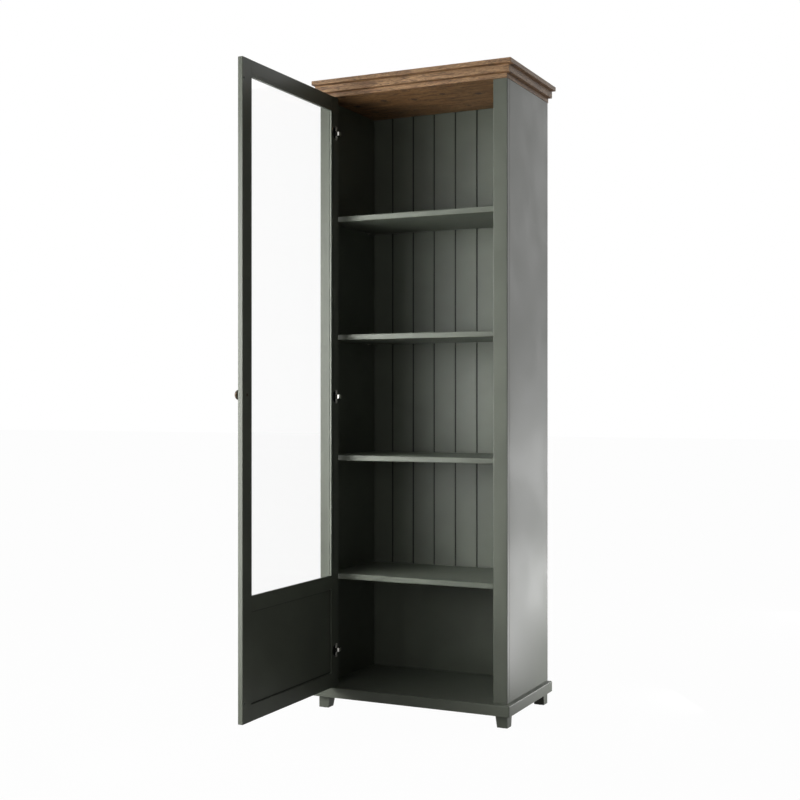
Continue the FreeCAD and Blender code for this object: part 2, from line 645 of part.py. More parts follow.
def make_hinge_arms(screws):
    """A bent arm reaches from the pilaster round the door's edge to the pin in the cup."""
    stem_near = "arm_reach - arm_thick / 2"
    stem_far = "arm_reach + arm_thick / 2"
    corners = [
        ("0", "-arm_thick / 2"),
        (stem_far, "arm_rise - arm_thick / 2"),
        (stem_far, "crossbar_rise + arm_thick"),
        ("-hinge_pin_inset", "crossbar_rise + arm_thick"),
        ("-hinge_pin_inset", "crossbar_rise"),
        (stem_near, "crossbar_rise"),
        (stem_near, "arm_rise + arm_thick / 2"),
        ("0", "arm_thick / 2"),
    ]
    for name, level in HINGES:
        label = "hinge_arm_" + name
        low_z = "%s - arm_height / 2" % level
        body = doc.addObject("PartDesign::Body", label + "_strap")
        sketch = outline(body, label + "_profile", corners)
        pad = body.newObject("PartDesign::Pad", label + "_pad")
        pad.Profile = sketch
        pad.setExpression("Length", formula("arm_height"))
        put(body, ("pin_x", "pin_y", low_z))
        eye_z = "%s - half_eye" % level
        eye = rod(label + "_eye", "arm_eye_radius", ("pin_x", "pin_y", eye_z), "+z",
                  "2 * half_eye")
        wing = box(label + "_wing",
                   ("-doorway_half", "pin_y + crossbar_rise", level + " - wing_height / 2"),
                   ("wing_thick - doorway_half", "pin_y + crossbar_rise + wing_width",
                    level + " + wing_height / 2"))
        bore = rod(label + "_bore", "hinge_pin_radius + hinge_running_gap",
                   ("pin_x", "pin_y", eye_z), "+z", "2 * half_eye")
        node(label, cut(label, fuse(label + "_solid", [body, eye, wing]), [bore, screws]))


# ---- door --------------------------------------------------------------------------

def knob_slice(label, distance, thick, near_radius, far_radius):
    """A round slice of the knob that starts at a distance from the door's face."""
    piece = doc.addObject("Part::Cone", label)
    bind(piece, {"Radius1": near_radius, "Radius2": far_radius, "Height": thick})
    return put(piece, ("door_outer_x - (%s)" % distance, "knob_y", "knob_z"), TURNS["-x"])


def make_knob():
    """A turned knob: foot, waisted neck and domed head, with its screw from the inside."""
    foot = rod("knob_foot", "knob_foot_radius", ("door_outer_x", "knob_y", "knob_z"), "-x",
               "knob_foot_thick")
    base = knob_slice("knob_neck_base", "knob_foot_thick",
                      "knob_neck_height - knob_foot_thick", "knob_flare_radius",
                      "knob_neck_radius")
    head = knob_slice("knob_head", "knob_neck_height", "knob_rim_height - knob_neck_height",
                      "knob_neck_radius", "knob_radius")
    rim = rod("knob_rim", "knob_radius",
              ("door_outer_x - knob_rim_height", "knob_y", "knob_z"), "-x",
              "knob_projection - knob_rim_height")
    ball = doc.addObject("Part::Sphere", "knob_ball")
    bind(ball, {"Radius": "knob_dome_radius"})
    put(ball, ("door_outer_x - knob_projection + knob_dome_radius", "knob_y", "knob_z"))
    dome = doc.addObject("Part::Common", "knob_dome")
    dome.Base = rim
    dome.Tool = ball
    blank = fuse("knob_blank", [foot, base, head, dome])
    pin = screw("knob_screw", ("door_inner_x", "knob_y", "knob_z"), "-x",
                ("knob_screw_radius", "knob_screw_head_radius", "knob_screw_head_thick",
                 "door_thick + knob_screw_reach"))
    node("knob", cut("knob", blank, [pin]))
    return node("knob_screw", pin)


def frame_cutters(side):
    """What a stile loses: the pane's rebate, the panel's groove and the rails' mortises."""
    if side == "hinge":
        def reach(depth):
            return "hinge_stile_y", "hinge_stile_y + " + depth
    else:
        def reach(depth):
            return "free_stile_y - " + depth, "free_stile_y"
    near, far = reach("rebate_width")
    cutters = [box(side + "_rebate",
                   ("glass_back_x", near, "middle_rail_top - rebate_width"),
                   ("door_inner_x", far, "top_rail_bottom + rebate_width"))]
    near, far = reach("groove_depth")
    cutters.append(box(side + "_groove",
                       ("door_middle_x - panel_board_thick / 2", near,
                        "bottom_rail_top - groove_depth"),
                       ("door_middle_x + panel_board_thick / 2", far,
                        "middle_rail_bottom + groove_depth")))
    near, far = reach("tenon_length")
    for low, high in RAILS.values():
        cutters.append(box(side + "_mortise",
                           ("door_middle_x - tenon_thick / 2", near, low + " + tenon_shoulder"),
                           ("door_middle_x + tenon_thick / 2", far, high + " - tenon_shoulder")))
    return cutters


RAILS = {"top": ("top_rail_bottom", "door_top"),
         "middle": ("middle_rail_bottom", "middle_rail_top"),
         "bottom": ("door_bottom", "bottom_rail_top")}


def make_stiles(cup_blanks, cup_screws, knob_screw):
    low = ("door_outer_x", "hinge_stile_y", "door_bottom")
    high = ("door_inner_x", "door_hinge_y", "door_top")
    blank = board("hinge_stile_blank", low, high,
                  {"door_swing_radius": ["x+y+"], "door_edge_radius": ["x-y+"]})
    node("door_hinge_stile", cut("door_hinge_stile", blank,
                                 frame_cutters("hinge") + cup_blanks + [cup_screws]))
    low = ("door_outer_x", "door_free_y", "door_bottom")
    high = ("door_inner_x", "free_stile_y", "door_top")
    blank = board("free_stile_blank", low, high, {"door_edge_radius": ["x-y-", "x+y-"]})
    node("door_free_stile", cut("door_free_stile", blank,
                                frame_cutters("free") + [knob_screw]))


def make_rails():
    for name, (low_z, high_z) in RAILS.items():
        label = "door_%s_rail" % name
        bar = box(label + "_bar", ("door_outer_x", "free_stile_y", low_z),
                  ("door_inner_x", "hinge_stile_y", high_z))
        tenon = box(label + "_tenon",
                    ("door_middle_x - tenon_thick / 2", "free_stile_y - tenon_length",
                     low_z + " + tenon_shoulder"),
                    ("door_middle_x + tenon_thick / 2", "hinge_stile_y + tenon_length",
                     high_z + " - tenon_shoulder"))
        solid = fuse(label + "_solid", [bar, tenon])
        cutters = []
        rebate_z = {"top": (low_z, low_z + " + rebate_width"),
                    "middle": (high_z + " - rebate_width", high_z)}.get(name)
        if rebate_z:
            cutters.append(box(label + "_rebate", ("glass_back_x", "free_stile_y", rebate_z[0]),
                               ("door_inner_x", "hinge_stile_y", rebate_z[1])))
        groove_z = {"middle": (low_z, low_z + " + groove_depth"),
                    "bottom": (high_z + " - groove_depth", high_z)}.get(name)
        if groove_z:
            cutters.append(box(label + "_groove",
                               ("door_middle_x - panel_board_thick / 2", "free_stile_y",
                                groove_z[0]),
                               ("door_middle_x + panel_board_thick / 2", "hinge_stile_y",
                                groove_z[1])))
        node(label, cut(label, solid, cutters))


def make_infill():
    """The wooden panel, the pane and the four beads that hold the pane."""
    depth = "(groove_depth - panel_edge_gap)"
    node("door_lower_panel", box(
        "door_lower_panel",
        ("door_middle_x - panel_board_thick / 2", "free_stile_y - " + depth,
         "bottom_rail_top - " + depth),
        ("door_middle_x + panel_board_thick / 2", "hinge_stile_y + " + depth,
         "middle_rail_bottom + " + depth)))
    depth = "(rebate_width - panel_edge_gap)"
    node("door_glass", box(
        "door_glass",
        ("glass_back_x", "free_stile_y - " + depth, "middle_rail_top - " + depth),
        ("glass_front_x", "hinge_stile_y + " + depth, "top_rail_bottom + " + depth)))
    low_y, high_y = "free_stile_y - rebate_width", "hinge_stile_y + rebate_width"
    inner_low_y, inner_high_y = "free_stile_y + bead_overhang", "hinge_stile_y - bead_overhang"
    low_z, high_z = "middle_rail_top + bead_overhang", "top_rail_bottom - bead_overhang"
    beads = {
        "top": (low_y, high_z, high_y, "top_rail_bottom + rebate_width"),
        "bottom": (low_y, "middle_rail_top - rebate_width", high_y, low_z),
        "free": (low_y, low_z, inner_low_y, high_z),
        "hinge": (inner_high_y, low_z, high_y, high_z),
    }
    for name, (y0, z0, y1, z1) in beads.items():
        label = "glazing_bead_" + name
        node(label, box(label, ("glass_front_x", y0, z0), ("door_inner_x", y1, z1)))


def make_bumpers():
    bumpers = []
    for level in ("door_bottom + bumper_end_distance", "door_top - bumper_end_distance"):
        start = ("door_inner_x", "door_free_y + bumper_edge_distance", level)
        bumpers.append(rod("door_bumper", "bumper_radius", start, "+x",
                           "door_gap - bumper_contact_gap"))
    node("door_bumpers", group("door_bumpers", bumpers))


# ---- the whole bookcase ------------------------------------------------------------

foot_bolts = make_feet()
carcass_dowels = make_carcass_dowels()
pilaster_dowels = make_pilaster_dowels()
cornice_dowels = make_cornice_dowels()
make_base(foot_bolts, carcass_dowels)
back_nails = make_back_nails()
make_back(back_nails)
shelf_pins = make_shelf_pins()
cup_screws, arm_screws = make_hinge_screws()
make_sides(carcass_dowels, pilaster_dowels, back_nails, shelf_pins, arm_screws)
make_shelves()
make_cornice(cornice_dowels, carcass_dowels)
hinge_pins = make_hinge_pins()
cup_blanks = make_hinge_cups(hinge_pins, cup_screws)
make_hinge_arms(arm_screws)
knob_screw = make_knob()
make_stiles(cup_blanks, cup_screws, knob_screw)
make_rails()
make_infill()
make_bumpers()

doc.recompute()
for thing in doc.Objects:
    if "Invalid" in thing.State or "Error" in thing.State:
        raise RuntimeError("%s did not compute: %s" % (thing.Label, thing.State))
for thing in NODES:
    if thing.Shape.isNull() or not thing.Shape.isValid() or not thing.Shape.Solids:
        raise RuntimeError("%s has no sound solid" % thing.Label)

os.makedirs("parts", exist_ok=True)
for thing in NODES:
    thing.Shape.exportStep(os.path.join("parts", thing.Label + ".step"))
    print("%-22s %2d solids %12.1f mm3" % (thing.Label, len(thing.Shape.Solids),
                                            thing.Shape.Volume))
print("%d nodes" % len(NODES))
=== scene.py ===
"""Dresses the display bookcase: painted boards, oak cornice, pane, hinges, knob and small hardware.

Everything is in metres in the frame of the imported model: +Z up, the front looks along -Y.
"""
import json
import math

import bmesh
import bpy
from bpy.props import FloatProperty, FloatVectorProperty, IntProperty, PointerProperty
from mathutils import Matrix, Vector


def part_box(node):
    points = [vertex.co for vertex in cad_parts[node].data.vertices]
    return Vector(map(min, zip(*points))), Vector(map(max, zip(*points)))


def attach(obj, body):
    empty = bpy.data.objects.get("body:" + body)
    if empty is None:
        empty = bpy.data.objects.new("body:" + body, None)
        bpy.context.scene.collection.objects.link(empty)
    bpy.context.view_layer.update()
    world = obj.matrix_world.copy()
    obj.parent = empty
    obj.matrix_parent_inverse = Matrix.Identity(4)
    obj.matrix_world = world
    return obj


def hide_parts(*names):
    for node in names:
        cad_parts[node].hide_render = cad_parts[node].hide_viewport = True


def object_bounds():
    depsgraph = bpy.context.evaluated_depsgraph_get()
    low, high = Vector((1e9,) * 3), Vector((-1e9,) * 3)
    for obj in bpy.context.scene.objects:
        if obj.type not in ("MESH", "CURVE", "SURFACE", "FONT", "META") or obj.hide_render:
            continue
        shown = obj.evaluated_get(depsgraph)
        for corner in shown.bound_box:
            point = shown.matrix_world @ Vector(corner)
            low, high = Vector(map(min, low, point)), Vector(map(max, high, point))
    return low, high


bl_info = {
    "name": "Display bookcase",
    "version": (1, 0, 0),
    "blender": (4, 5, 0),
    "location": "3D View > Sidebar > Bookcase",
    "description": "Painted bookcase with an oak cornice and one glazed door",
    "category": "Object",
}

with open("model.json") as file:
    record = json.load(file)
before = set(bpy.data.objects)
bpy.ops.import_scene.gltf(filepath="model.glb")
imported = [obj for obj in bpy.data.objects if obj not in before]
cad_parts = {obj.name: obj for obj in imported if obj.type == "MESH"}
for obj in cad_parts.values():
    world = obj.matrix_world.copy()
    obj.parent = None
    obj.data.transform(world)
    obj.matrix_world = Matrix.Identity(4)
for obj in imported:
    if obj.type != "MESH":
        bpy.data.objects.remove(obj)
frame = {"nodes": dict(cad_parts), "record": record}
CAD_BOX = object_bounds()
NODES = frame["nodes"]
BODY_OF = {node: body for body, nodes in frame["record"]["behaviour"]["bodies"].items()
           for node in nodes}
SLOT_OF = {part["node"]: part["material_slot"] for part in frame["record"]["subparts"]}

MM = 0.001
PER_METRE = 1000.0

CORNICE = ("cornice_lower_board", "cornice_middle_board", "cornice_top_board")
HINGES = ("top", "middle", "bottom")

# the darkest and lightest patches of the paint, as shares of its colour
MOTTLED = (0.93, 1.06)
# how far the paint's roughness varies, and how deep its waves are
GLOSS_SPREAD = 0.03
WAVE_DEPTH = 0.02 * MM
# how deep behind the plank faces the painted shade of a groove sets in, and where it ends, mm
GROOVE_TOP = (0.05, 0.4)
GROOVE_BOTTOM = (3.3, 3.8)
# how far the painted shade reaches into the door panel's corners from the stiles and rails, mm
STILE_CORNER = 7.0
RAIL_CORNER = 5.0

# the oak planks, mm: their width, and where the heart of one lies in depth
PLANK = 270.0
HEART_AT = -245.0
# half the width of the row of knots at a heart, and where it has faded out, mm
KNOT_ROW = (40.0, 60.0)
# where a knot lies along the grain, and how far apart knots are across it, in spacings
KNOT_START = 0.49
KNOT_ACROSS = 1.25
# how dark knots are out of the row
FAINT_KNOT = 0.5
# the grain's figure, lengths along the grain first, mm
SWAY_SIZE = (260.0, 40.0, 40.0)
BAND_LENGTH = 110.0
FIBRE_LENGTH = 16.0
CRACK_SIZE = (45.0, 2.4, 2.4)
# how far the grain sways, and how far a knot pushes it, mm
SWAY = 26.0
KNOT_PUSH = 14.0
# brightness of the fibres on the narrow and on the wide faces, dark to light
STREAKS = (0.55, 1.42)
CALM_STREAKS = (0.78, 1.2)
# where the noise of the bands turns from dark to middle wood, and from middle to light
DARK_TO_MIDDLE = (0.34, 0.54)
MIDDLE_TO_LIGHT = (0.5, 0.7)
# one over how much wider the bands are on a wide face, cut nearly along the rings
BAND_SPREAD = 0.35
# a knot's dark heart, from its full dark to its edge, in spacings
KNOT_HEART = (0.05, 0.14)
# the noise of the cracks, from a full crack to none
CRACKED = (0.32, 0.39)
# how fully a crack and a knot's heart take the dark stain
CRACK_DARK, HEART_DARK = 0.85, 0.95
OAK_ROUGHNESS = (0.62, 0.48)
OAK_RELIEF = 0.25 * MM

# the tongues on the rim of a hinge cup
TONGUE_WIDTH = 9.6 * MM
TONGUE_THICK = 0.9 * MM
TONGUE_REACH = (7.5 * MM, 16.0 * MM)
TONGUE_ROUND = 0.2 * MM
# half the width of the band across a cup that is left lit, outside which shade is painted
LIT_HALF = 5 * MM
# how far out of the door's face an arm's painted shade ends
LIT_ARM = 3 * MM
# colour of the painted shade on the hinges' parts in and near the cup
HINGE_SHADE = "232421"
# the shortest edge that is rounded on a hinge and on a board
HINGE_SHORTEST = 3 * MM
BOARD_SHORTEST = 12 * MM
# drawing marks of plated steel, mm
MARKS = (6.0, 0.5, 0.5)

# the knob's foot and neck as shares of its radius, and the flare's heights of its length
KNOB_FOOT = 0.62
KNOB_NECK = 0.345
KNOB_NECK_AT, KNOB_RIM_AT, KNOB_DOME_AT = 0.3, 0.52, 0.59
# how late the flare opens
KNOB_FLARE = 1.6
KNOB_FOOT_THICK = 2.5 * MM

# a screw's head depth and shank, and a nail's shank, as shares of the head's radius
SCREW_HEAD, SCREW_SHANK, NAIL_SHANK = 0.5, 0.5, 1 / 3
NAIL_HEAD = 0.8 * MM

PANE_EDGE = 0.3 * MM
# vertices closer than this are one
MERGE = 0.001 * MM


def linear(hex_colour):
    """An sRGB hex value as linear red, green, blue and alpha."""
    channels = [int(hex_colour[start:start + 2], 16) / 255 for start in (0, 2, 4)]
    return tuple(c / 12.92 if c <= 0.04045 else ((c + 0.055) / 1.055) ** 2.4
                 for c in channels) + (1.0,)


def colour_property(name, hex_colour, description):
    return FloatVectorProperty(name=name, description=description, subtype="COLOR", size=4,
                               min=0.0, max=1.0, default=linear(hex_colour))


def length_property(name, millimetres, description):
    return FloatProperty(name=name, description=description, unit="LENGTH",
                         subtype="DISTANCE", min=0.0, default=millimetres * MM)


# ---- what a user would change ------------------------------------------------------

class PaintSettings(bpy.types.PropertyGroup):
    colour: colour_property("Paint", "5A5E54", "Dark grey-green of every painted board")
    # colour of the painted shade at the bottom of the grooves
    groove_shade: colour_property("Grooves", "14160F", "Bottom of the grooves, where little spray lands")
    edge: length_property("Eased edge", 0.7, "Rounding that sanding leaves on a board's edges")
    peel: length_property("Spray texture", 1.4, "Width of the fine waves of sprayed paint")
    mottle: length_property("Mottle", 140.0, "Size of the faint uneven patches in the coat")
    roughness: FloatProperty(name="Roughness", description="Silk finish of the paint",
                             subtype="FACTOR", min=0.0, max=1.0, default=0.42)


class OakSettings(bpy.types.PropertyGroup):
    light: colour_property("Light wood", "AC8862", "Early wood between the dark bands")
    middle: colour_property("Middle wood", "90704D", "Most of the board")
    dark: colour_property("Dark wood", "6A4C32", "Late wood")
    heartwood: colour_property("Heartwood", "E2D6C9", "Stain of the boards' wide faces")
    crack: colour_property("Cracks", "2A1A10", "Filled cracks, pores and the hearts of knots")
    fibre: length_property("Fibre", 1.4, "Width of the fine streaks along the grain")
    band: length_property("Band", 8.0, "Width of the growth bands")
    knot: length_property("Knot spacing", 108.0, "Distance between knots along the grain")


class HardwareSettings(bpy.types.PropertyGroup):
    nickel: colour_property("Nickel", "C9C7C1", "Plated hinges, screws and shelf pins")
    zinc: colour_property("Zinc", "A9ADB0", "Plated nails and bolts")
    brass: colour_property("Aged brass", "40372E", "Brown patina of the knob")
    brass_high: colour_property("Rubbed brass", "5C4F42", "Patina where hands rub the knob")
    plate_edge: length_property("Plate edge", 0.25, "Rounding of stamped steel")
    arm_edge: length_property("Arm edge", 2.2, "Rounding of the hinge arms")
    recess_width: length_property("Recess width", 0.9, "Arm of a screw's cross recess")
    recess_length: length_property("Recess length", 3.6, "Cross recess, tip to tip")
    recess_depth: length_property("Recess depth", 1.1, "Cross recess of a screw")
    sides: IntProperty(name="Sides", description="Sides of small round metal parts",
                       min=8, max=64, default=24)


class KnobSettings(bpy.types.PropertyGroup):
    sides: IntProperty(name="Sides", description="Sides of the turned knob", min=16, max=128,
                       default=64)
    dome_steps: IntProperty(name="Dome steps", description="Steps of the dome's curve", min=4,
                            max=32, default=12)
    lip: length_property("Lip", 0.9, "Rounding of the knob's rim and foot")


class StageSettings(bpy.types.PropertyGroup):
    floor: colour_property("Floor", "ABABA9", "Plain pale floor")
    lens: FloatProperty(name="Lens", description="Focal length on a 36 mm sensor",
                        default=57.91, unit="CAMERA")
    rise: FloatProperty(name="Rise", description="Vertical shift of the lens, as a share of "
                        "the frame's width", default=0.0009)
    camera: FloatVectorProperty(name="Camera", description="Where the camera stands",
                                subtype="TRANSLATION", unit="LENGTH",
                                default=(1.7196, -4.0316, 0.99615))
    turn: FloatProperty(name="Turn", description="The camera's turn to the left",
                        subtype="ANGLE", default=math.radians(25.63))


# ---- nodes and meshes --------------------------------------------------------------

def add_node(tree, kind, inputs=None, **settings):
    """Add a node, set its properties, and set or link its inputs."""
    node = tree.nodes.new(kind)
    for name, value in settings.items():
        setattr(node, name, value)
    for socket, value in (inputs or {}).items():
        if isinstance(value, bpy.types.NodeSocket):
            tree.links.new(value, node.inputs[socket])
        else:
            node.inputs[socket].default_value = value
    return node


def new_material(name):
    """An empty material, its node tree and its Principled shader."""
    material = bpy.data.materials.new(name)
    material.use_nodes = True
    tree = material.node_tree
    return material, tree, tree.nodes["Principled BSDF"]


def millimetres(tree):
    """Object coordinates counted in millimetres."""
    place = add_node(tree, "ShaderNodeTexCoord")
    scaled = add_node(tree, "ShaderNodeVectorMath",
                      {0: place.outputs["Object"], 1: (PER_METRE,) * 3}, operation="MULTIPLY")
    return scaled.outputs[0]


def stretched_noise(tree, vector, sizes, **inputs):
    """Noise whose grains are about that many millimetres long along each axis."""
    scaled = add_node(tree, "ShaderNodeVectorMath", {0: vector, 1: sizes}, operation="DIVIDE")
    noise = add_node(tree, "ShaderNodeTexNoise",
                     {"Vector": scaled.outputs[0], "Scale": 1.0, **inputs})
    return noise.outputs["Fac"]


def between(tree, value, low, high, to_low=0.0, to_high=1.0):
    """A value taken smoothly from one range to another."""
    ranged = add_node(tree, "ShaderNodeMapRange",
                      {"Value": value, "From Min": low, "From Max": high,
                       "To Min": to_low, "To Max": to_high}, interpolation_type="SMOOTHSTEP")
    return ranged.outputs["Result"]


def blend(tree, factor, first, second, mode="MIX"):
    mixed = add_node(tree, "ShaderNodeMix", {"Factor": factor, "A": first, "B": second},
                     data_type="RGBA", blend_type=mode)
    return mixed.outputs["Result"]


def new_object(name, mesh, material):
    mesh.materials.clear()
    mesh.materials.append(material)
    piece = bpy.data.objects.new(name, mesh)
    bpy.context.scene.collection.objects.link(piece)
    return piece


def stand_for(piece, *nodes):
    """The piece replaces these nodes and rides on their body, in their finish."""
    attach(piece, BODY_OF[nodes[0]])
    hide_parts(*nodes)


def eased_copy(node, easing, material, shortest=BOARD_SHORTEST):
    """Put in a node's place its own shape with the long sharp edges rounded."""
    sharp = math.radians(40)
    mesh = NODES[node].data.copy()
    shape = bmesh.new()
    shape.from_mesh(mesh)
    bmesh.ops.remove_doubles(shape, verts=shape.verts, dist=MERGE)
    bmesh.ops.dissolve_limit(shape, angle_limit=math.radians(0.5), verts=shape.verts,
                             edges=shape.edges, delimit=set())
    weight = shape.edges.layers.float.new("bevel_weight_edge")
    for edge in shape.edges:
        bent = len(edge.link_faces) == 2 and edge.calc_face_angle_signed(0) > sharp
        edge[weight] = 1.0 if bent and edge.calc_length() > shortest else 0.0
    shape.to_mesh(mesh)
    shape.free()
    mesh.shade_smooth()
    mesh.set_sharp_from_angle(angle=sharp)
    piece = new_object(node + "_finish", mesh, material)
    bevel = piece.modifiers.new("easing", "BEVEL")
    bevel.limit_method = "WEIGHT"
    bevel.width = easing
    bevel.segments = 2
    bevel.use_clamp_overlap = True
    bevel.loop_slide = False
    normals = piece.modifiers.new("flat faces", "WEIGHTED_NORMAL")
    normals.keep_sharp = True
    stand_for(piece, node)


def turned(name, profile, sides, centre, axis, material):
    """A shape turned on a lathe from (radius, height) points; both ends lie on the axis."""
    shape = bmesh.new()
    rings = []
    for radius, height in profile:
        count = sides if radius > 0 else 1
        rings.append([shape.verts.new((radius * math.cos(math.tau * step / sides),
                                       radius * math.sin(math.tau * step / sides), height))
                      for step in range(count)])
    for low, high in zip(rings, rings[1:]):
        for step in range(sides):
            following = (step + 1) % sides
            corners = [low[step % len(low)], low[following % len(low)],
                       high[following % len(high)], high[step % len(high)]]
            shape.faces.new(list(dict.fromkeys(corners)))
    bmesh.ops.recalc_face_normals(shape, faces=shape.faces)
    turn = Vector((0, 0, 1)).rotation_difference(axis).to_matrix().to_4x4()
    shape.transform(Matrix.Translation(centre) @ turn)
    mesh = bpy.data.meshes.new(name)
    shape.to_mesh(mesh)
    shape.free()
    mesh.shade_smooth()
    mesh.set_sharp_from_angle(angle=math.radians(50))
    return new_object(name, mesh, material)


def solid_corners(node):
    """Lowest and highest corner of each separate solid of a node."""
    shape = bmesh.new()
    shape.from_mesh(NODES[node].data)
    bmesh.ops.remove_doubles(shape, verts=shape.verts, dist=MERGE)
    waiting = set(shape.verts)
    found = []
    while waiting:
        island = {waiting.pop()}
        to_follow = list(island)
        while to_follow:
            for edge in to_follow.pop().link_edges:
                for vertex in edge.verts:
                    if vertex in waiting:
                        waiting.discard(vertex)
                        island.add(vertex)
                        to_follow.append(vertex)
        places = [vertex.co for vertex in island]
        low = Vector([min(place[i] for place in places) for i in range(3)])
        high = Vector([max(place[i] for place in places) for i in range(3)])
        found.append((low, high))
    shape.free()
    return sorted(found, key=lambda corners: tuple(round(c, 5) for c in corners[0]))


# ---- materials ---------------------------------------------------------------------

def shade_in_grooves(tree, axes):
    """1 in the grooves of the back panel, whose plank faces are its foremost ones: where their
    shade is painted.
    """
    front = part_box("back_panel_grooved")[0].y * PER_METRE
    past_face = between(tree, axes[1], *(front + depth for depth in GROOVE_TOP))
    before_back = between(tree, axes[1], *(front + depth for depth in GROOVE_BOTTOM), 1.0, 0.0)
    return add_node(tree, "ShaderNodeMath", {0: past_face, 1: before_back},
                    operation="MULTIPLY").outputs[0]


def shade_along_frame(tree, axes):
    """Up to 1 in the corner between the door's lower panel and its frame, where shade is painted.
    """
    free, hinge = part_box("door_free_stile")[1].y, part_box("door_hinge_stile")[0].y
    low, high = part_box("door_bottom_rail")[1].z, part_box("door_middle_rail")[0].z
    nearness = 0.0
    for axis, side, width in ((1, free, STILE_CORNER), (1, hinge, -STILE_CORNER),
                              (2, low, RAIL_CORNER), (2, high, -RAIL_CORNER)):
        edge = side * PER_METRE
        corner = between(tree, axes[axis], edge, edge + width, 1.0, 0.0)
        nearness = add_node(tree, "ShaderNodeMath", {0: nearness, 1: corner},
                            operation="MAXIMUM").outputs[0]
    return nearness


def silk_paint(name="sprayed silk paint", where_shaded=None):
    """Sprayed acrylic furniture paint: an even dark coat with a silk sheen and fine waves.

    Where a board has grooves or corners, their shade is painted darker into its colour there.
    """
    paint = bpy.context.scene.bookcase_paint
    material, tree, shader = new_material(name)
    place = millimetres(tree)
    patches = stretched_noise(tree, place, (paint.mottle * PER_METRE,) * 3, Detail=2.0)
    dark, light = (tuple(c * share for c in paint.colour[:3]) + (1.0,) for share in MOTTLED)
    colour = blend(tree, between(tree, patches, 0.3, 0.7), dark, light)
    if where_shaded is not None:
        axes = add_node(tree, "ShaderNodeSeparateXYZ", {0: place}).outputs
        # painted shade in the grooves, or in the corners of the door panel
        colour = blend(tree, where_shaded(tree, axes), colour, tuple(paint.groove_shade))
    waves = stretched_noise(tree, place, (paint.peel * PER_METRE,) * 3, Detail=1.0)
    gloss = between(tree, patches, 0.25, 0.75, paint.roughness - GLOSS_SPREAD,
                    paint.roughness + GLOSS_SPREAD)
    bump = add_node(tree, "ShaderNodeBump",
                    {"Height": waves, "Distance": WAVE_DEPTH, "Strength": 0.6})
    tree.links.new(colour, shader.inputs["Base Color"])
    tree.links.new(gloss, shader.inputs["Roughness"])
    tree.links.new(bump.outputs["Normal"], shader.inputs["Normal"])
    shader.inputs["IOR"].default_value = 1.36
    return material


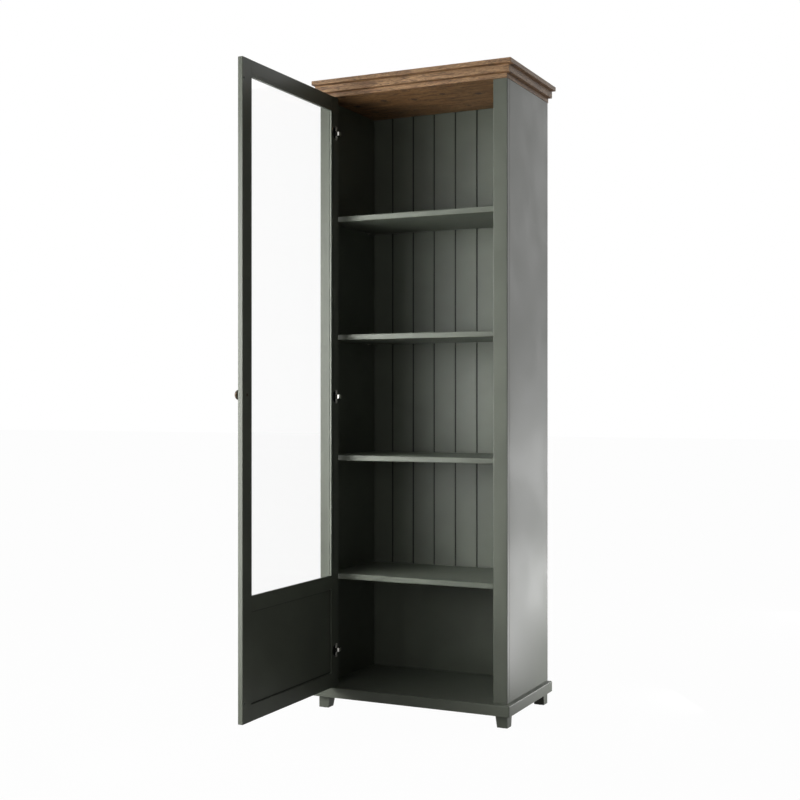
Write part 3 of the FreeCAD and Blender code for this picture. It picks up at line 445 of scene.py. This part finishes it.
def oiled_oak():
    """Rustic oak, sawn and oiled: bands, fine fibres, knots and long filled cracks."""
    oak = bpy.context.scene.bookcase_oak
    material, tree, shader = new_material("oiled rustic oak")
    split = add_node(tree, "ShaderNodeSeparateXYZ", {0: millimetres(tree)}).outputs
    normal = add_node(tree, "ShaderNodeTexCoord").outputs["Normal"]
    facing = add_node(tree, "ShaderNodeSeparateXYZ", {0: normal}).outputs

    def one_of(axis, first, second):
        """The second value where a face looks along the axis, and elsewhere the first."""
        turned_there = add_node(tree, "ShaderNodeMath", {0: facing[axis]}, operation="ABSOLUTE")
        there = add_node(tree, "ShaderNodeMath", {0: turned_there.outputs[0], 1: 0.7},
                         operation="GREATER_THAN")
        return add_node(tree, "ShaderNodeMix", {"Factor": there.outputs[0], "A": first,
                                                "B": second}).outputs["Result"]

    # the mouldings of the two ends run to the back, and the grain with them
    place = add_node(tree, "ShaderNodeCombineXYZ", {0: one_of(0, split[0], split[1]),
                                                    1: one_of(2, split[2], split[1])}).outputs[0]
    # knots push the bands aside
    spacing = oak.knot * PER_METRE
    cells = add_node(tree, "ShaderNodeVectorMath",
                     {0: place, 1: (1 / spacing, 1 / (spacing * KNOT_ACROSS), 1.0),
                      2: (KNOT_START, 0.0, 0.0)}, operation="MULTIPLY_ADD")
    knots = add_node(tree, "ShaderNodeTexVoronoi",
                     {"Vector": cells.outputs[0], "Scale": 1.0, "Randomness": 0.35},
                     voronoi_dimensions="2D")
    # knots are darkest in a row at the heart of each plank, on the wide faces
    across = add_node(tree, "ShaderNodeSeparateXYZ", {0: place}).outputs[1]
    from_heart = add_node(tree, "ShaderNodeMath", {0: across, 1: HEART_AT},
                          operation="SUBTRACT").outputs[0]
    off_row = add_node(tree, "ShaderNodeMath", {0: from_heart, 1: PLANK / 2},
                       operation="PINGPONG").outputs[0]
    in_row = between(tree, off_row, *KNOT_ROW, 1.0, 0.0)
    knotted = add_node(tree, "ShaderNodeMath", {0: one_of(2, 0.0, in_row), 1: FAINT_KNOT},
                       operation="ADD", use_clamp=True)
    near = between(tree, knots.outputs["Distance"], 0.0, 0.3, 1.0, 0.0)
    sway = stretched_noise(tree, place, SWAY_SIZE, Detail=2.0)
    swayed = add_node(tree, "ShaderNodeMath", {0: sway, 1: SWAY}, operation="MULTIPLY")
    pushed = add_node(tree, "ShaderNodeMath", {0: near, 1: KNOT_PUSH, 2: swayed.outputs[0]},
                      operation="MULTIPLY_ADD")
    shift = add_node(tree, "ShaderNodeCombineXYZ",
                     {1: pushed.outputs[0], 2: pushed.outputs[0]})
    flow = add_node(tree, "ShaderNodeVectorMath", {0: place, 1: shift.outputs[0]},
                    operation="ADD").outputs[0]
    # a wide face is cut nearly along the growth rings, which spreads the bands
    spread = add_node(tree, "ShaderNodeCombineXYZ", {0: 1.0, 1: one_of(2, 1.0, BAND_SPREAD),
                                                     2: 1.0})
    flow = add_node(tree, "ShaderNodeVectorMath", {0: flow, 1: spread.outputs[0]},
                    operation="MULTIPLY").outputs[0]
    band = oak.band * PER_METRE
    bands = stretched_noise(tree, flow, (BAND_LENGTH, band, band), Detail=6.0, Roughness=0.68)
    fibre = oak.fibre * PER_METRE
    fibres = stretched_noise(tree, flow, (FIBRE_LENGTH, fibre, fibre), Detail=3.0, Roughness=0.6)
    cracks = stretched_noise(tree, flow, CRACK_SIZE, Detail=2.0, Roughness=0.5)
    colour = blend(tree, between(tree, bands, *DARK_TO_MIDDLE), tuple(oak.dark), tuple(oak.middle))
    colour = blend(tree, between(tree, bands, *MIDDLE_TO_LIGHT), colour, tuple(oak.light))
    streak = one_of(2, between(tree, fibres, 0.3, 0.7, *STREAKS),
                    between(tree, fibres, 0.3, 0.7, *CALM_STREAKS))
    streaks = add_node(tree, "ShaderNodeCombineColor", {0: streak, 1: streak, 2: streak})
    colour = blend(tree, 1.0, colour, streaks.outputs[0], "MULTIPLY")
    # the wide faces are heartwood: calmer, darker and redder
    colour = blend(tree, one_of(2, 0.0, 1.0), colour, tuple(oak.heartwood), "MULTIPLY")
    crack = between(tree, cracks, *CRACKED, CRACK_DARK, 0.0)
    heart = add_node(tree, "ShaderNodeMath",
                     {0: between(tree, knots.outputs["Distance"], *KNOT_HEART, HEART_DARK, 0.0),
                      1: knotted.outputs[0]}, operation="MULTIPLY").outputs[0]
    dark = add_node(tree, "ShaderNodeMath", {0: crack, 1: heart}, operation="MAXIMUM")
    colour = blend(tree, dark.outputs[0], colour, tuple(oak.crack))
    height = add_node(tree, "ShaderNodeMath", {0: fibres, 1: dark.outputs[0]},
                      operation="SUBTRACT")
    bump = add_node(tree, "ShaderNodeBump", {"Height": height.outputs[0],
                                             "Distance": OAK_RELIEF, "Strength": 0.7})
    tree.links.new(colour, shader.inputs["Base Color"])
    tree.links.new(between(tree, fibres, 0.3, 0.7, *OAK_ROUGHNESS), shader.inputs["Roughness"])
    tree.links.new(bump.outputs["Normal"], shader.inputs["Normal"])
    return material


def plated_steel(name, colour, roughness, bright=None):
    """Stamped steel with thin plating: bright, with faint drawing marks.

    On a hinge only the part between the bright limits is left lit: one (axis, low, high) for each
    axis that limits it. The rest has shade painted dark into its colour.
    """
    material, tree, shader = new_material(name)
    place = millimetres(tree)
    marks = stretched_noise(tree, place, MARKS, Detail=2.0)
    shade = blend(tree, between(tree, marks, 0.3, 0.7), tuple(c * 0.9 for c in colour[:3]) + (1,),
                  tuple(colour))
    axes = add_node(tree, "ShaderNodeSeparateXYZ", {0: place}).outputs
    # painted shade outside the lit limits
    for axis, low, high in bright or ():
        for limit, to_low, to_high in ((low * PER_METRE, 0.0, 1.0),
                                       (high * PER_METRE, 1.0, 0.0)):
            unshaded = between(tree, axes[axis], limit - 0.2, limit + 0.2, to_low, to_high)
            shade = blend(tree, unshaded, linear(HINGE_SHADE), shade)
    tree.links.new(shade, shader.inputs["Base Color"])
    tree.links.new(between(tree, marks, 0.3, 0.7, roughness, roughness + 0.1),
                   shader.inputs["Roughness"])
    shader.inputs["Metallic"].default_value = 1.0
    return material


def aged_brass():
    """Cast brass with a brown patina that hands have rubbed lighter in patches."""
    hardware = bpy.context.scene.bookcase_hardware
    material, tree, shader = new_material("aged brass")
    place = millimetres(tree)
    patina = stretched_noise(tree, place, (6.0, 6.0, 6.0), Detail=4.0, Roughness=0.6)
    pits = stretched_noise(tree, place, (0.7, 0.7, 0.7), Detail=1.0)
    rubbed = between(tree, patina, 0.45, 0.7)
    bump = add_node(tree, "ShaderNodeBump",
                    {"Height": pits, "Distance": 0.05 * MM, "Strength": 0.5})
    tree.links.new(blend(tree, rubbed, tuple(hardware.brass), tuple(hardware.brass_high)),
                   shader.inputs["Base Color"])
    tree.links.new(between(tree, patina, 0.3, 0.7, 0.72, 0.58), shader.inputs["Roughness"])
    tree.links.new(bump.outputs["Normal"], shader.inputs["Normal"])
    shader.inputs["Metallic"].default_value = 1.0
    return material


def float_glass():
    """Clear float glass, 4 mm thick. Light from the lamps passes through it."""
    material, tree, shader = new_material("clear float glass")
    shader.inputs["Base Color"].default_value = linear("FFFFFF")
    shader.inputs["Roughness"].default_value = 0.0
    shader.inputs["IOR"].default_value = 1.15
    shader.inputs["Transmission Weight"].default_value = 1.0
    output = tree.nodes["Material Output"]
    clear = add_node(tree, "ShaderNodeBsdfTransparent", {"Color": linear("FAFCFB")})
    path = add_node(tree, "ShaderNodeLightPath")
    mixed = add_node(tree, "ShaderNodeMixShader",
                     {0: path.outputs["Is Shadow Ray"], 1: shader.outputs[0],
                      2: clear.outputs[0]})
    tree.links.new(mixed.outputs[0], output.inputs["Surface"])
    return material


def moulded_plastic(name, hex_colour, roughness):
    """Injection-moulded plastic with the fine grain of its mould."""
    material, tree, shader = new_material(name)
    grain = stretched_noise(tree, millimetres(tree), (0.4, 0.4, 0.4), Detail=2.0)
    colour = linear(hex_colour)
    shade = blend(tree, grain, tuple(c * 0.92 for c in colour[:3]) + (1,), colour)
    bump = add_node(tree, "ShaderNodeBump",
                    {"Height": grain, "Distance": 0.03 * MM, "Strength": 0.5})
    tree.links.new(shade, shader.inputs["Base Color"])
    tree.links.new(bump.outputs["Normal"], shader.inputs["Normal"])
    shader.inputs["Roughness"].default_value = roughness
    return material


def beech():
    """Turned beech dowels, bare, with short flecks along the grain."""
    material, tree, shader = new_material("bare beech")
    flecks = stretched_noise(tree, millimetres(tree), (0.8, 0.8, 6.0), Detail=2.0)
    tree.links.new(blend(tree, between(tree, flecks, 0.35, 0.65), linear("B08A5E"),
                         linear("CDAA7C")), shader.inputs["Base Color"])
    shader.inputs["Roughness"].default_value = 0.7
    return material


# ---- geometry node trees -----------------------------------------------------------

def tree_with_inputs(name, sizes):
    """A geometry node tree with a geometry in and out and a named input for each size."""
    tree = bpy.data.node_groups.new(name, "GeometryNodeTree")
    tree.interface.new_socket("Geometry", in_out="INPUT", socket_type="NodeSocketGeometry")
    for size in sizes:
        kind = "NodeSocketInt" if size == "Sides" else "NodeSocketFloat"
        tree.interface.new_socket(size, in_out="INPUT", socket_type=kind)
    tree.interface.new_socket("Geometry", in_out="OUTPUT", socket_type="NodeSocketGeometry")
    return tree, tree.nodes.new("NodeGroupInput"), tree.nodes.new("NodeGroupOutput")


def fixing_tree(material):
    """Screws with a cross recess at points: cone head, shank and a turned cross each."""
    tree, sizes, result = tree_with_inputs(
        "cross-recessed screws", ("Sides", "Head radius", "Head depth", "Shank radius",
                                  "Length", "Recess width", "Recess length", "Recess depth"))
    size = sizes.outputs
    head = add_node(tree, "GeometryNodeMeshCone",
                    {"Vertices": size["Sides"], "Radius Top": size["Head radius"],
                     "Radius Bottom": size["Shank radius"], "Depth": size["Head depth"]})
    sunk = add_node(tree, "ShaderNodeMath", {0: size["Head depth"], 1: -1.0},
                    operation="MULTIPLY")
    head_place = add_node(tree, "ShaderNodeCombineXYZ", {2: sunk.outputs[0]})
    head_in = add_node(tree, "GeometryNodeTransform",
                       {"Geometry": head.outputs["Mesh"], "Translation": head_place.outputs[0]})
    bars = []
    for turn in (0.0, math.pi / 2):
        bar_size = add_node(tree, "ShaderNodeCombineXYZ",
                            {0: size["Recess length"], 1: size["Recess width"],
                             2: size["Recess depth"]})
        bar = add_node(tree, "GeometryNodeMeshCube", {"Size": bar_size.outputs[0]})
        bars.append(add_node(tree, "GeometryNodeTransform",
                             {"Geometry": bar.outputs["Mesh"],
                              "Rotation": (0.0, 0.0, turn)}).outputs[0])
    cross = add_node(tree, "GeometryNodeMeshBoolean", operation="UNION", solver="EXACT")
    for bar in bars:
        tree.links.new(bar, cross.inputs["Mesh 2"])
    recessed = add_node(tree, "GeometryNodeMeshBoolean",
                        {"Mesh 1": head_in.outputs[0], "Mesh 2": cross.outputs["Mesh"]},
                        operation="DIFFERENCE", solver="EXACT")
    shank_length = add_node(tree, "ShaderNodeMath", {0: size["Length"], 1: size["Head depth"]},
                            operation="SUBTRACT")
    shank = add_node(tree, "GeometryNodeMeshCylinder",
                     {"Vertices": size["Sides"], "Radius": size["Shank radius"],
                      "Depth": shank_length.outputs[0]})
    half = add_node(tree, "ShaderNodeMath",
                    {0: shank_length.outputs[0], 1: -0.5, 2: sunk.outputs[0]},
                    operation="MULTIPLY_ADD")
    shank_place = add_node(tree, "ShaderNodeCombineXYZ", {2: half.outputs[0]})
    shank_in = add_node(tree, "GeometryNodeTransform",
                        {"Geometry": shank.outputs["Mesh"],
                         "Translation": shank_place.outputs[0]})
    screw = add_node(tree, "GeometryNodeJoinGeometry")
    for part in (recessed.outputs["Mesh"], shank_in.outputs[0]):
        tree.links.new(part, screw.inputs[0])
    spin = add_node(tree, "FunctionNodeRandomValue", {"Max": (0.0, 0.0, math.tau), "Seed": 7},
                    data_type="FLOAT_VECTOR")
    placed = add_node(tree, "GeometryNodeInstanceOnPoints",
                      {"Points": size["Geometry"], "Instance": screw.outputs[0]})
    outwards = add_node(tree, "GeometryNodeRotateInstances",
                        {"Instances": placed.outputs[0], "Rotation": (0.0, math.pi / 2, 0.0)})
    turned_round = add_node(tree, "GeometryNodeRotateInstances",
                            {"Instances": outwards.outputs[0],
                             "Rotation": spin.outputs[0]})
    real = add_node(tree, "GeometryNodeRealizeInstances", {0: turned_round.outputs[0]})
    painted = add_node(tree, "GeometryNodeSetMaterial",
                       {"Geometry": real.outputs[0], "Material": material})
    tree.links.new(painted.outputs[0], result.inputs[0])
    return tree


def nail_tree(material):
    """Round-headed nails at points, driven towards the front."""
    tree, sizes, result = tree_with_inputs(
        "back nails", ("Sides", "Head radius", "Head depth", "Shank radius", "Length"))
    size = sizes.outputs
    head = add_node(tree, "GeometryNodeMeshUVSphere",
                    {"Segments": size["Sides"], "Rings": 8, "Radius": size["Head radius"]})
    flat = add_node(tree, "ShaderNodeMath", {0: size["Head depth"], 1: size["Head radius"]},
                    operation="DIVIDE")
    squeeze = add_node(tree, "ShaderNodeCombineXYZ", {0: 1.0, 1: 1.0, 2: flat.outputs[0]})
    domed = add_node(tree, "GeometryNodeTransform",
                     {"Geometry": head.outputs["Mesh"], "Scale": squeeze.outputs[0]})
    shank = add_node(tree, "GeometryNodeMeshCylinder",
                     {"Vertices": 8, "Radius": size["Shank radius"], "Depth": size["Length"]})
    back = add_node(tree, "ShaderNodeMath", {0: size["Length"], 1: -0.5}, operation="MULTIPLY")
    shank_place = add_node(tree, "ShaderNodeCombineXYZ", {2: back.outputs[0]})
    shank_in = add_node(tree, "GeometryNodeTransform",
                        {"Geometry": shank.outputs["Mesh"],
                         "Translation": shank_place.outputs[0]})
    nail = add_node(tree, "GeometryNodeJoinGeometry")
    for part in (domed.outputs[0], shank_in.outputs[0]):
        tree.links.new(part, nail.inputs[0])
    placed = add_node(tree, "GeometryNodeInstanceOnPoints",
                      {"Points": size["Geometry"], "Instance": nail.outputs[0],
                       "Rotation": (-math.pi / 2, 0.0, 0.0)})
    real = add_node(tree, "GeometryNodeRealizeInstances", {0: placed.outputs[0]})
    painted = add_node(tree, "GeometryNodeSetMaterial",
                       {"Geometry": real.outputs[0], "Material": material})
    tree.links.new(painted.outputs[0], result.inputs[0])
    return tree


def grown(name, points, tree, sizes, material):
    """The plain mesh that a geometry node tree makes of some points."""
    mesh = bpy.data.meshes.new(name + "_points")
    mesh.from_pydata(points, [], [])
    seed = bpy.data.objects.new(name + "_points", mesh)
    bpy.context.scene.collection.objects.link(seed)
    modifier = seed.modifiers.new("pieces", "NODES")
    modifier.node_group = tree
    for item in tree.interface.items_tree:
        if item.in_out == "INPUT" and item.name in sizes:
            modifier[item.identifier] = sizes[item.name]
    bpy.context.view_layer.update()
    evaluated = seed.evaluated_get(bpy.context.evaluated_depsgraph_get())
    made = bpy.data.meshes.new_from_object(evaluated)
    bpy.data.objects.remove(seed)
    made.name = name
    return new_object(name, made, material)


# ---- pieces ------------------------------------------------------------------------

class BOOKCASE_OT_painted_boards(bpy.types.Operator):
    """Paint every board and ease its edges"""
    bl_idname = "bookcase.painted_boards"
    bl_label = "Painted boards"

    def execute(self, context):
        paint = silk_paint()
        # boards with shade painted into their grooves or corners
        darker = {"back_panel_grooved": silk_paint("silk paint, shaded in grooves", shade_in_grooves),
                  "door_lower_panel": silk_paint("silk paint, shaded in corners", shade_along_frame)}
        for node, slot in SLOT_OF.items():
            if slot == "painted_wood":
                eased_copy(node, context.scene.bookcase_paint.edge, darker.get(node, paint))
        return {"FINISHED"}


class BOOKCASE_OT_cornice(bpy.types.Operator):
    """Give the three cornice boards their oak"""
    bl_idname = "bookcase.cornice"
    bl_label = "Oak cornice"

    def execute(self, context):
        oak = oiled_oak()
        for node in CORNICE:
            NODES[node].data.materials.clear()
            NODES[node].data.materials.append(oak)
        return {"FINISHED"}


class BOOKCASE_OT_pane(bpy.types.Operator):
    """Glaze the door"""
    bl_idname = "bookcase.pane"
    bl_label = "Pane"

    def execute(self, context):
        eased_copy("door_glass", PANE_EDGE, float_glass())
        return {"FINISHED"}


class BOOKCASE_OT_knob(bpy.types.Operator):
    """Turn the knob"""
    bl_idname = "bookcase.knob"
    bl_label = "Knob"

    def execute(self, context):
        knob = context.scene.bookcase_knob
        low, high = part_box("knob")
        radius = (high.z - low.z) / 2
        length = high.x - low.x
        lip = knob.lip
        foot_radius, foot_thick = radius * KNOB_FOOT, KNOB_FOOT_THICK
        neck_radius, neck_at = radius * KNOB_NECK, length * KNOB_NECK_AT
        rim_at, dome_at = length * KNOB_RIM_AT, length * KNOB_DOME_AT
        profile = [(0.0, 0.0), (foot_radius, 0.0), (foot_radius, foot_thick - lip),
                   (foot_radius - lip, foot_thick)]
        flare_steps = knob.dome_steps // 2
        for step in range(flare_steps + 1):
            turn = math.pi * step / knob.dome_steps
            waist = neck_radius + (foot_radius - lip - neck_radius) * (1 + math.cos(turn)) / 2
            profile.append((waist - lip, foot_thick + (neck_at - foot_thick) * step * 2
                            / knob.dome_steps))
        for step in range(1, flare_steps + 1):
            share = step / flare_steps
            profile.append((neck_radius + (radius - neck_radius) * share ** KNOB_FLARE,
                            neck_at + (rim_at - neck_at) * math.sin(share * math.pi / 2)))
        profile.append((radius, (rim_at + dome_at) / 2))
        rise = length - dome_at
        for step in range(knob.dome_steps + 1):
            turn = math.pi / 2 * step / knob.dome_steps
            profile.append((radius * math.cos(turn) if step < knob.dome_steps else 0.0,
                            dome_at + rise * math.sin(turn)))
        centre = Vector((high.x, (low.y + high.y) / 2, (low.z + high.z) / 2))
        piece = turned("knob_finish", profile, knob.sides, centre, Vector((-1, 0, 0)),
                       aged_brass())
        stand_for(piece, "knob")
        return {"FINISHED"}


class BOOKCASE_OT_hinges(bpy.types.Operator):
    """Plate the hinges and set their screws"""
    bl_idname = "bookcase.hinges"
    bl_label = "Hinges and screws"

    def tongues(self, finish, ears):
        """Flat tongues of each cup's rim, above and below the arm, in line with its ears."""
        shape = bmesh.new()
        for hinge in HINGES:
            low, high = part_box("hinge_cup_" + hinge)
            middle, half = (low.z + high.z) / 2, TONGUE_WIDTH / 2
            for way in (-1, 1):
                corners = [(high.x - depth, ears + across, middle + way * height)
                           for depth in (TONGUE_THICK, 0.0) for across in (-half, half)
                           for height in TONGUE_REACH]
                made = [shape.verts.new(corner) for corner in corners]
                bmesh.ops.convex_hull(shape, input=made)
        bmesh.ops.recalc_face_normals(shape, faces=shape.faces)
        mesh = bpy.data.meshes.new("hinge_tongues")
        shape.to_mesh(mesh)
        shape.free()
        piece = new_object("hinge_tongues", mesh, finish)
        rounding = piece.modifiers.new("rounding", "BEVEL")
        rounding.width = TONGUE_ROUND
        rounding.segments = 2
        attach(piece, BODY_OF["hinge_cup_top"])

    def execute(self, context):
        hardware = context.scene.bookcase_hardware
        nickel = plated_steel("nickel-plated steel", hardware.nickel, 0.22)
        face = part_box("door_hinge_stile")[1].x
        screw_low, screw_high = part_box("hinge_cup_screws")
        ears = (screw_low.y + screw_high.y) / 2
        far = CAD_BOX[1].x
        # the cup and arm have shade painted dark into them, away from their lit parts
        cup = plated_steel("hinge cup steel", hardware.nickel, 0.55,
                           ((0, face, far), (1, ears - LIT_HALF, ears + LIT_HALF)))
        arm = plated_steel("hinge arm steel", hardware.nickel, 0.22,
                           ((0, face + LIT_ARM, far),))
        for hinge in HINGES:
            eased_copy("hinge_cup_" + hinge, hardware.plate_edge, cup, HINGE_SHORTEST)
            eased_copy("hinge_arm_" + hinge, hardware.arm_edge, arm, HINGE_SHORTEST)
        self.tongues(cup, ears)
        for node in ("hinge_pins", "shelf_pins"):
            NODES[node].data.materials.clear()
            NODES[node].data.materials.append(nickel)
        finishes = {"hinge_cup_screws": nickel, "hinge_arm_screws": nickel,
                    "knob_screw": aged_brass()}
        for node, finish in finishes.items():
            tree = fixing_tree(finish)
            solids = solid_corners(node)
            low, high = solids[0]
            heads = [(top.x, (bottom.y + top.y) / 2, (bottom.z + top.z) / 2)
                     for bottom, top in solids]
            radius = (high.y - low.y) / 2
            sizes = {"Sides": hardware.sides, "Head radius": radius,
                     "Head depth": radius * SCREW_HEAD, "Shank radius": radius * SCREW_SHANK,
                     "Length": high.x - low.x, "Recess width": hardware.recess_width,
                     "Recess length": hardware.recess_length,
                     "Recess depth": hardware.recess_depth * 2}
            piece = grown(node + "_finish", heads, tree, sizes, finish)
            stand_for(piece, node)
        return {"FINISHED"}


class BOOKCASE_OT_fixings(bpy.types.Operator):
    """Finish nails, bolts, dowels, glides and bumpers"""
    bl_idname = "bookcase.fixings"
    bl_label = "Nails, bolts, dowels, glides, bumpers"

    def execute(self, context):
        hardware = context.scene.bookcase_hardware
        zinc = plated_steel("zinc-plated steel", hardware.zinc, 0.35)
        dowel = beech()
        finishes = {"foot_bolts": zinc, "carcass_dowels": dowel, "pilaster_dowels": dowel,
                    "cornice_dowels": dowel,
                    "foot_glides": moulded_plastic("black nylon", "1B1B1B", 0.5),
                    "door_bumpers": moulded_plastic("soft grey rubber", "3C3F39", 0.7)}
        for node, finish in finishes.items():
            NODES[node].data.materials.clear()
            NODES[node].data.materials.append(finish)
        nails = solid_corners("back_nails")
        low, high = nails[0]
        radius = (high.x - low.x) / 2
        heads = [((bottom.x + top.x) / 2, top.y - NAIL_HEAD, (bottom.z + top.z) / 2)
                 for bottom, top in nails]
        sizes = {"Sides": hardware.sides, "Head radius": radius, "Head depth": NAIL_HEAD,
                 "Shank radius": radius * NAIL_SHANK, "Length": high.y - low.y - NAIL_HEAD}
        piece = grown("back_nails_finish", heads, nail_tree(zinc), sizes, zinc)
        stand_for(piece, "back_nails")
        return {"FINISHED"}


# ---- stage -------------------------------------------------------------------------

FLOOR_HALF = 30.0
WORLD_STRENGTH = 0.02
# how white each kind of ray sees the floor
FLOOR_WHITE = (("Is Camera Ray", 0.98), ("Is Transmission Ray", 0.98), ("Is Glossy Ray", 0.3))


def soft_light(name, place, aim, width, height, power):
    """A rectangular soft box that looks from its place at a point."""
    lamp = bpy.data.lights.new(name, "AREA")
    lamp.shape = "RECTANGLE"
    lamp.size = width
    lamp.size_y = height
    lamp.energy = power
    light = bpy.data.objects.new(name, lamp)
    light.location = place
    direction = Vector(aim) - Vector(place)
    light.rotation_euler = direction.to_track_quat("-Z", "Y").to_euler()
    light.visible_camera = False
    bpy.context.scene.collection.objects.link(light)


# name, place, aim, width, height and power of each
LIGHTS = (
    ("front left soft box", (-2.4, -2.6, 1.4), (0.0, -0.3, 1.0), 1.4, 1.6, 80.0),
    ("front left strip", (-1.4, -2.2, 1.2), (0.0, -0.3, 1.0), 0.5, 1.0, 6.0),
    ("door strip", (-0.6, -1.35, 1.0), (-0.27, -0.94, 1.0), 0.2, 1.7, 8.6),
    ("front strip", (0.3, -4.0, 1.2), (0.0, -0.2, 1.1), 0.4, 1.2, 9.5),
    ("back right soft box", (2.6, 5.0, 2.2), (0.32, -0.1, 1.2), 2.0, 3.0, 34.0),
    ("right soft box", (1.2, 2.2, 0.9), (0.32, -0.1, 0.7), 0.8, 0.8, 1.5),
    ("small right soft box", (1.2, 2.5, 0.62), (0.32, -0.1, 0.6), 0.5, 0.5, 6.0),
    ("low right strip", (1.3, 2.0, 0.1), (0.33, 0.0, 0.25), 1.2, 0.2, 9.6),
    ("near right strip", (0.75, 0.25, 0.12), (0.33, -0.02, 0.2), 0.3, 0.25, 2.3),
    ("top soft box", (0.1, 0.3, 3.6), (0.0, -0.1, 2.0), 1.0, 1.0, 8.0),
)


def pale_floor(colour):
    """Floor that looks white, and still keeps a little of the object's shadow."""
    material, tree, shader = new_material("pale floor")
    shader.inputs["Base Color"].default_value = colour
    shader.inputs["Roughness"].default_value = 0.9
    path = add_node(tree, "ShaderNodeLightPath")
    share = None
    for kind, white in FLOOR_WHITE:
        part = add_node(tree, "ShaderNodeMath", {0: path.outputs[kind], 1: white},
                        operation="MULTIPLY").outputs[0]
        share = part if share is None else add_node(
            tree, "ShaderNodeMath", {0: share, 1: part}, operation="MAXIMUM").outputs[0]
    glow = add_node(tree, "ShaderNodeEmission", {"Color": (1, 1, 1, 1), "Strength": 1.0})
    mixed = add_node(tree, "ShaderNodeMixShader", {0: share, 1: shader.outputs[0],
                                                   2: glow.outputs[0]})
    tree.links.new(mixed.outputs[0], tree.nodes["Material Output"].inputs["Surface"])
    return material


def studio_world(strength):
    """White behind the object, and a dimmer even light from all round."""
    world = bpy.data.worlds.new("studio")
    world.use_nodes = True
    tree = world.node_tree
    path = add_node(tree, "ShaderNodeLightPath")
    seen = path.outputs["Is Camera Ray"]
    for kind in ("Is Glossy Ray", "Is Transmission Ray"):
        seen = add_node(tree, "ShaderNodeMath", {0: seen, 1: path.outputs[kind]},
                        operation="MAXIMUM").outputs[0]
    level = add_node(tree, "ShaderNodeMapRange", {"Value": seen, "To Min": strength,
                                                  "To Max": 1.0})
    tree.links.new(level.outputs["Result"], tree.nodes["Background"].inputs["Strength"])
    tree.nodes["Background"].inputs["Color"].default_value = (1, 1, 1, 1)
    return world


class BOOKCASE_OT_stage(bpy.types.Operator):
    """Set the floor, the lights and the camera"""
    bl_idname = "bookcase.stage"
    bl_label = "Stage"

    def execute(self, context):
        scene = context.scene
        settings = scene.bookcase_stage
        corners = [(x * FLOOR_HALF, y * FLOOR_HALF, 0.0)
                   for x, y in ((-1, -1), (1, -1), (1, 1), (-1, 1))]
        mesh = bpy.data.meshes.new("floor")
        mesh.from_pydata(corners, [], [(0, 1, 2, 3)])
        new_object("floor", mesh, pale_floor(settings.floor))
        scene.world = studio_world(WORLD_STRENGTH)
        for light in LIGHTS:
            soft_light(*light)
        camera = bpy.data.cameras.new("camera")
        camera.lens = settings.lens
        camera.sensor_width = 36.0
        camera.shift_y = settings.rise
        view = bpy.data.objects.new("camera", camera)
        view.location = settings.camera
        view.rotation_euler = (math.pi / 2, 0.0, settings.turn)
        scene.collection.objects.link(view)
        scene.camera = view
        scene.view_settings.view_transform = "Standard"
        return {"FINISHED"}


class BOOKCASE_PT_panel(bpy.types.Panel):
    """Lists what makes the bookcase"""
    bl_idname = "BOOKCASE_PT_panel"
    bl_label = "Display bookcase"
    bl_space_type = "VIEW_3D"
    bl_region_type = "UI"
    bl_category = "Bookcase"

    def draw(self, context):
        for operator in OPERATORS:
            self.layout.operator(operator.bl_idname)
        for name in SETTINGS:
            group = getattr(context.scene, name)
            for key in group.bl_rna.properties.keys():
                if key not in ("rna_type", "name"):
                    self.layout.prop(group, key)


OPERATORS = (BOOKCASE_OT_painted_boards, BOOKCASE_OT_cornice, BOOKCASE_OT_pane,
             BOOKCASE_OT_knob, BOOKCASE_OT_hinges, BOOKCASE_OT_fixings, BOOKCASE_OT_stage)
SETTINGS = {"bookcase_paint": PaintSettings, "bookcase_oak": OakSettings,
            "bookcase_hardware": HardwareSettings, "bookcase_knob": KnobSettings,
            "bookcase_stage": StageSettings}


def register():
    for kind in (*SETTINGS.values(), *OPERATORS, BOOKCASE_PT_panel):
        bpy.utils.register_class(kind)
    for name, group in SETTINGS.items():
        setattr(bpy.types.Scene, name, PointerProperty(type=group))


def unregister():
    for name in SETTINGS:
        delattr(bpy.types.Scene, name)
    for kind in (BOOKCASE_PT_panel, *reversed(OPERATORS), *reversed(SETTINGS.values())):
        bpy.utils.unregister_class(kind)


def main():
    register()
    for operator in OPERATORS:
        getattr(bpy.ops.bookcase, operator.bl_idname.split(".")[1])()


if __name__ == "__main__":
    main()
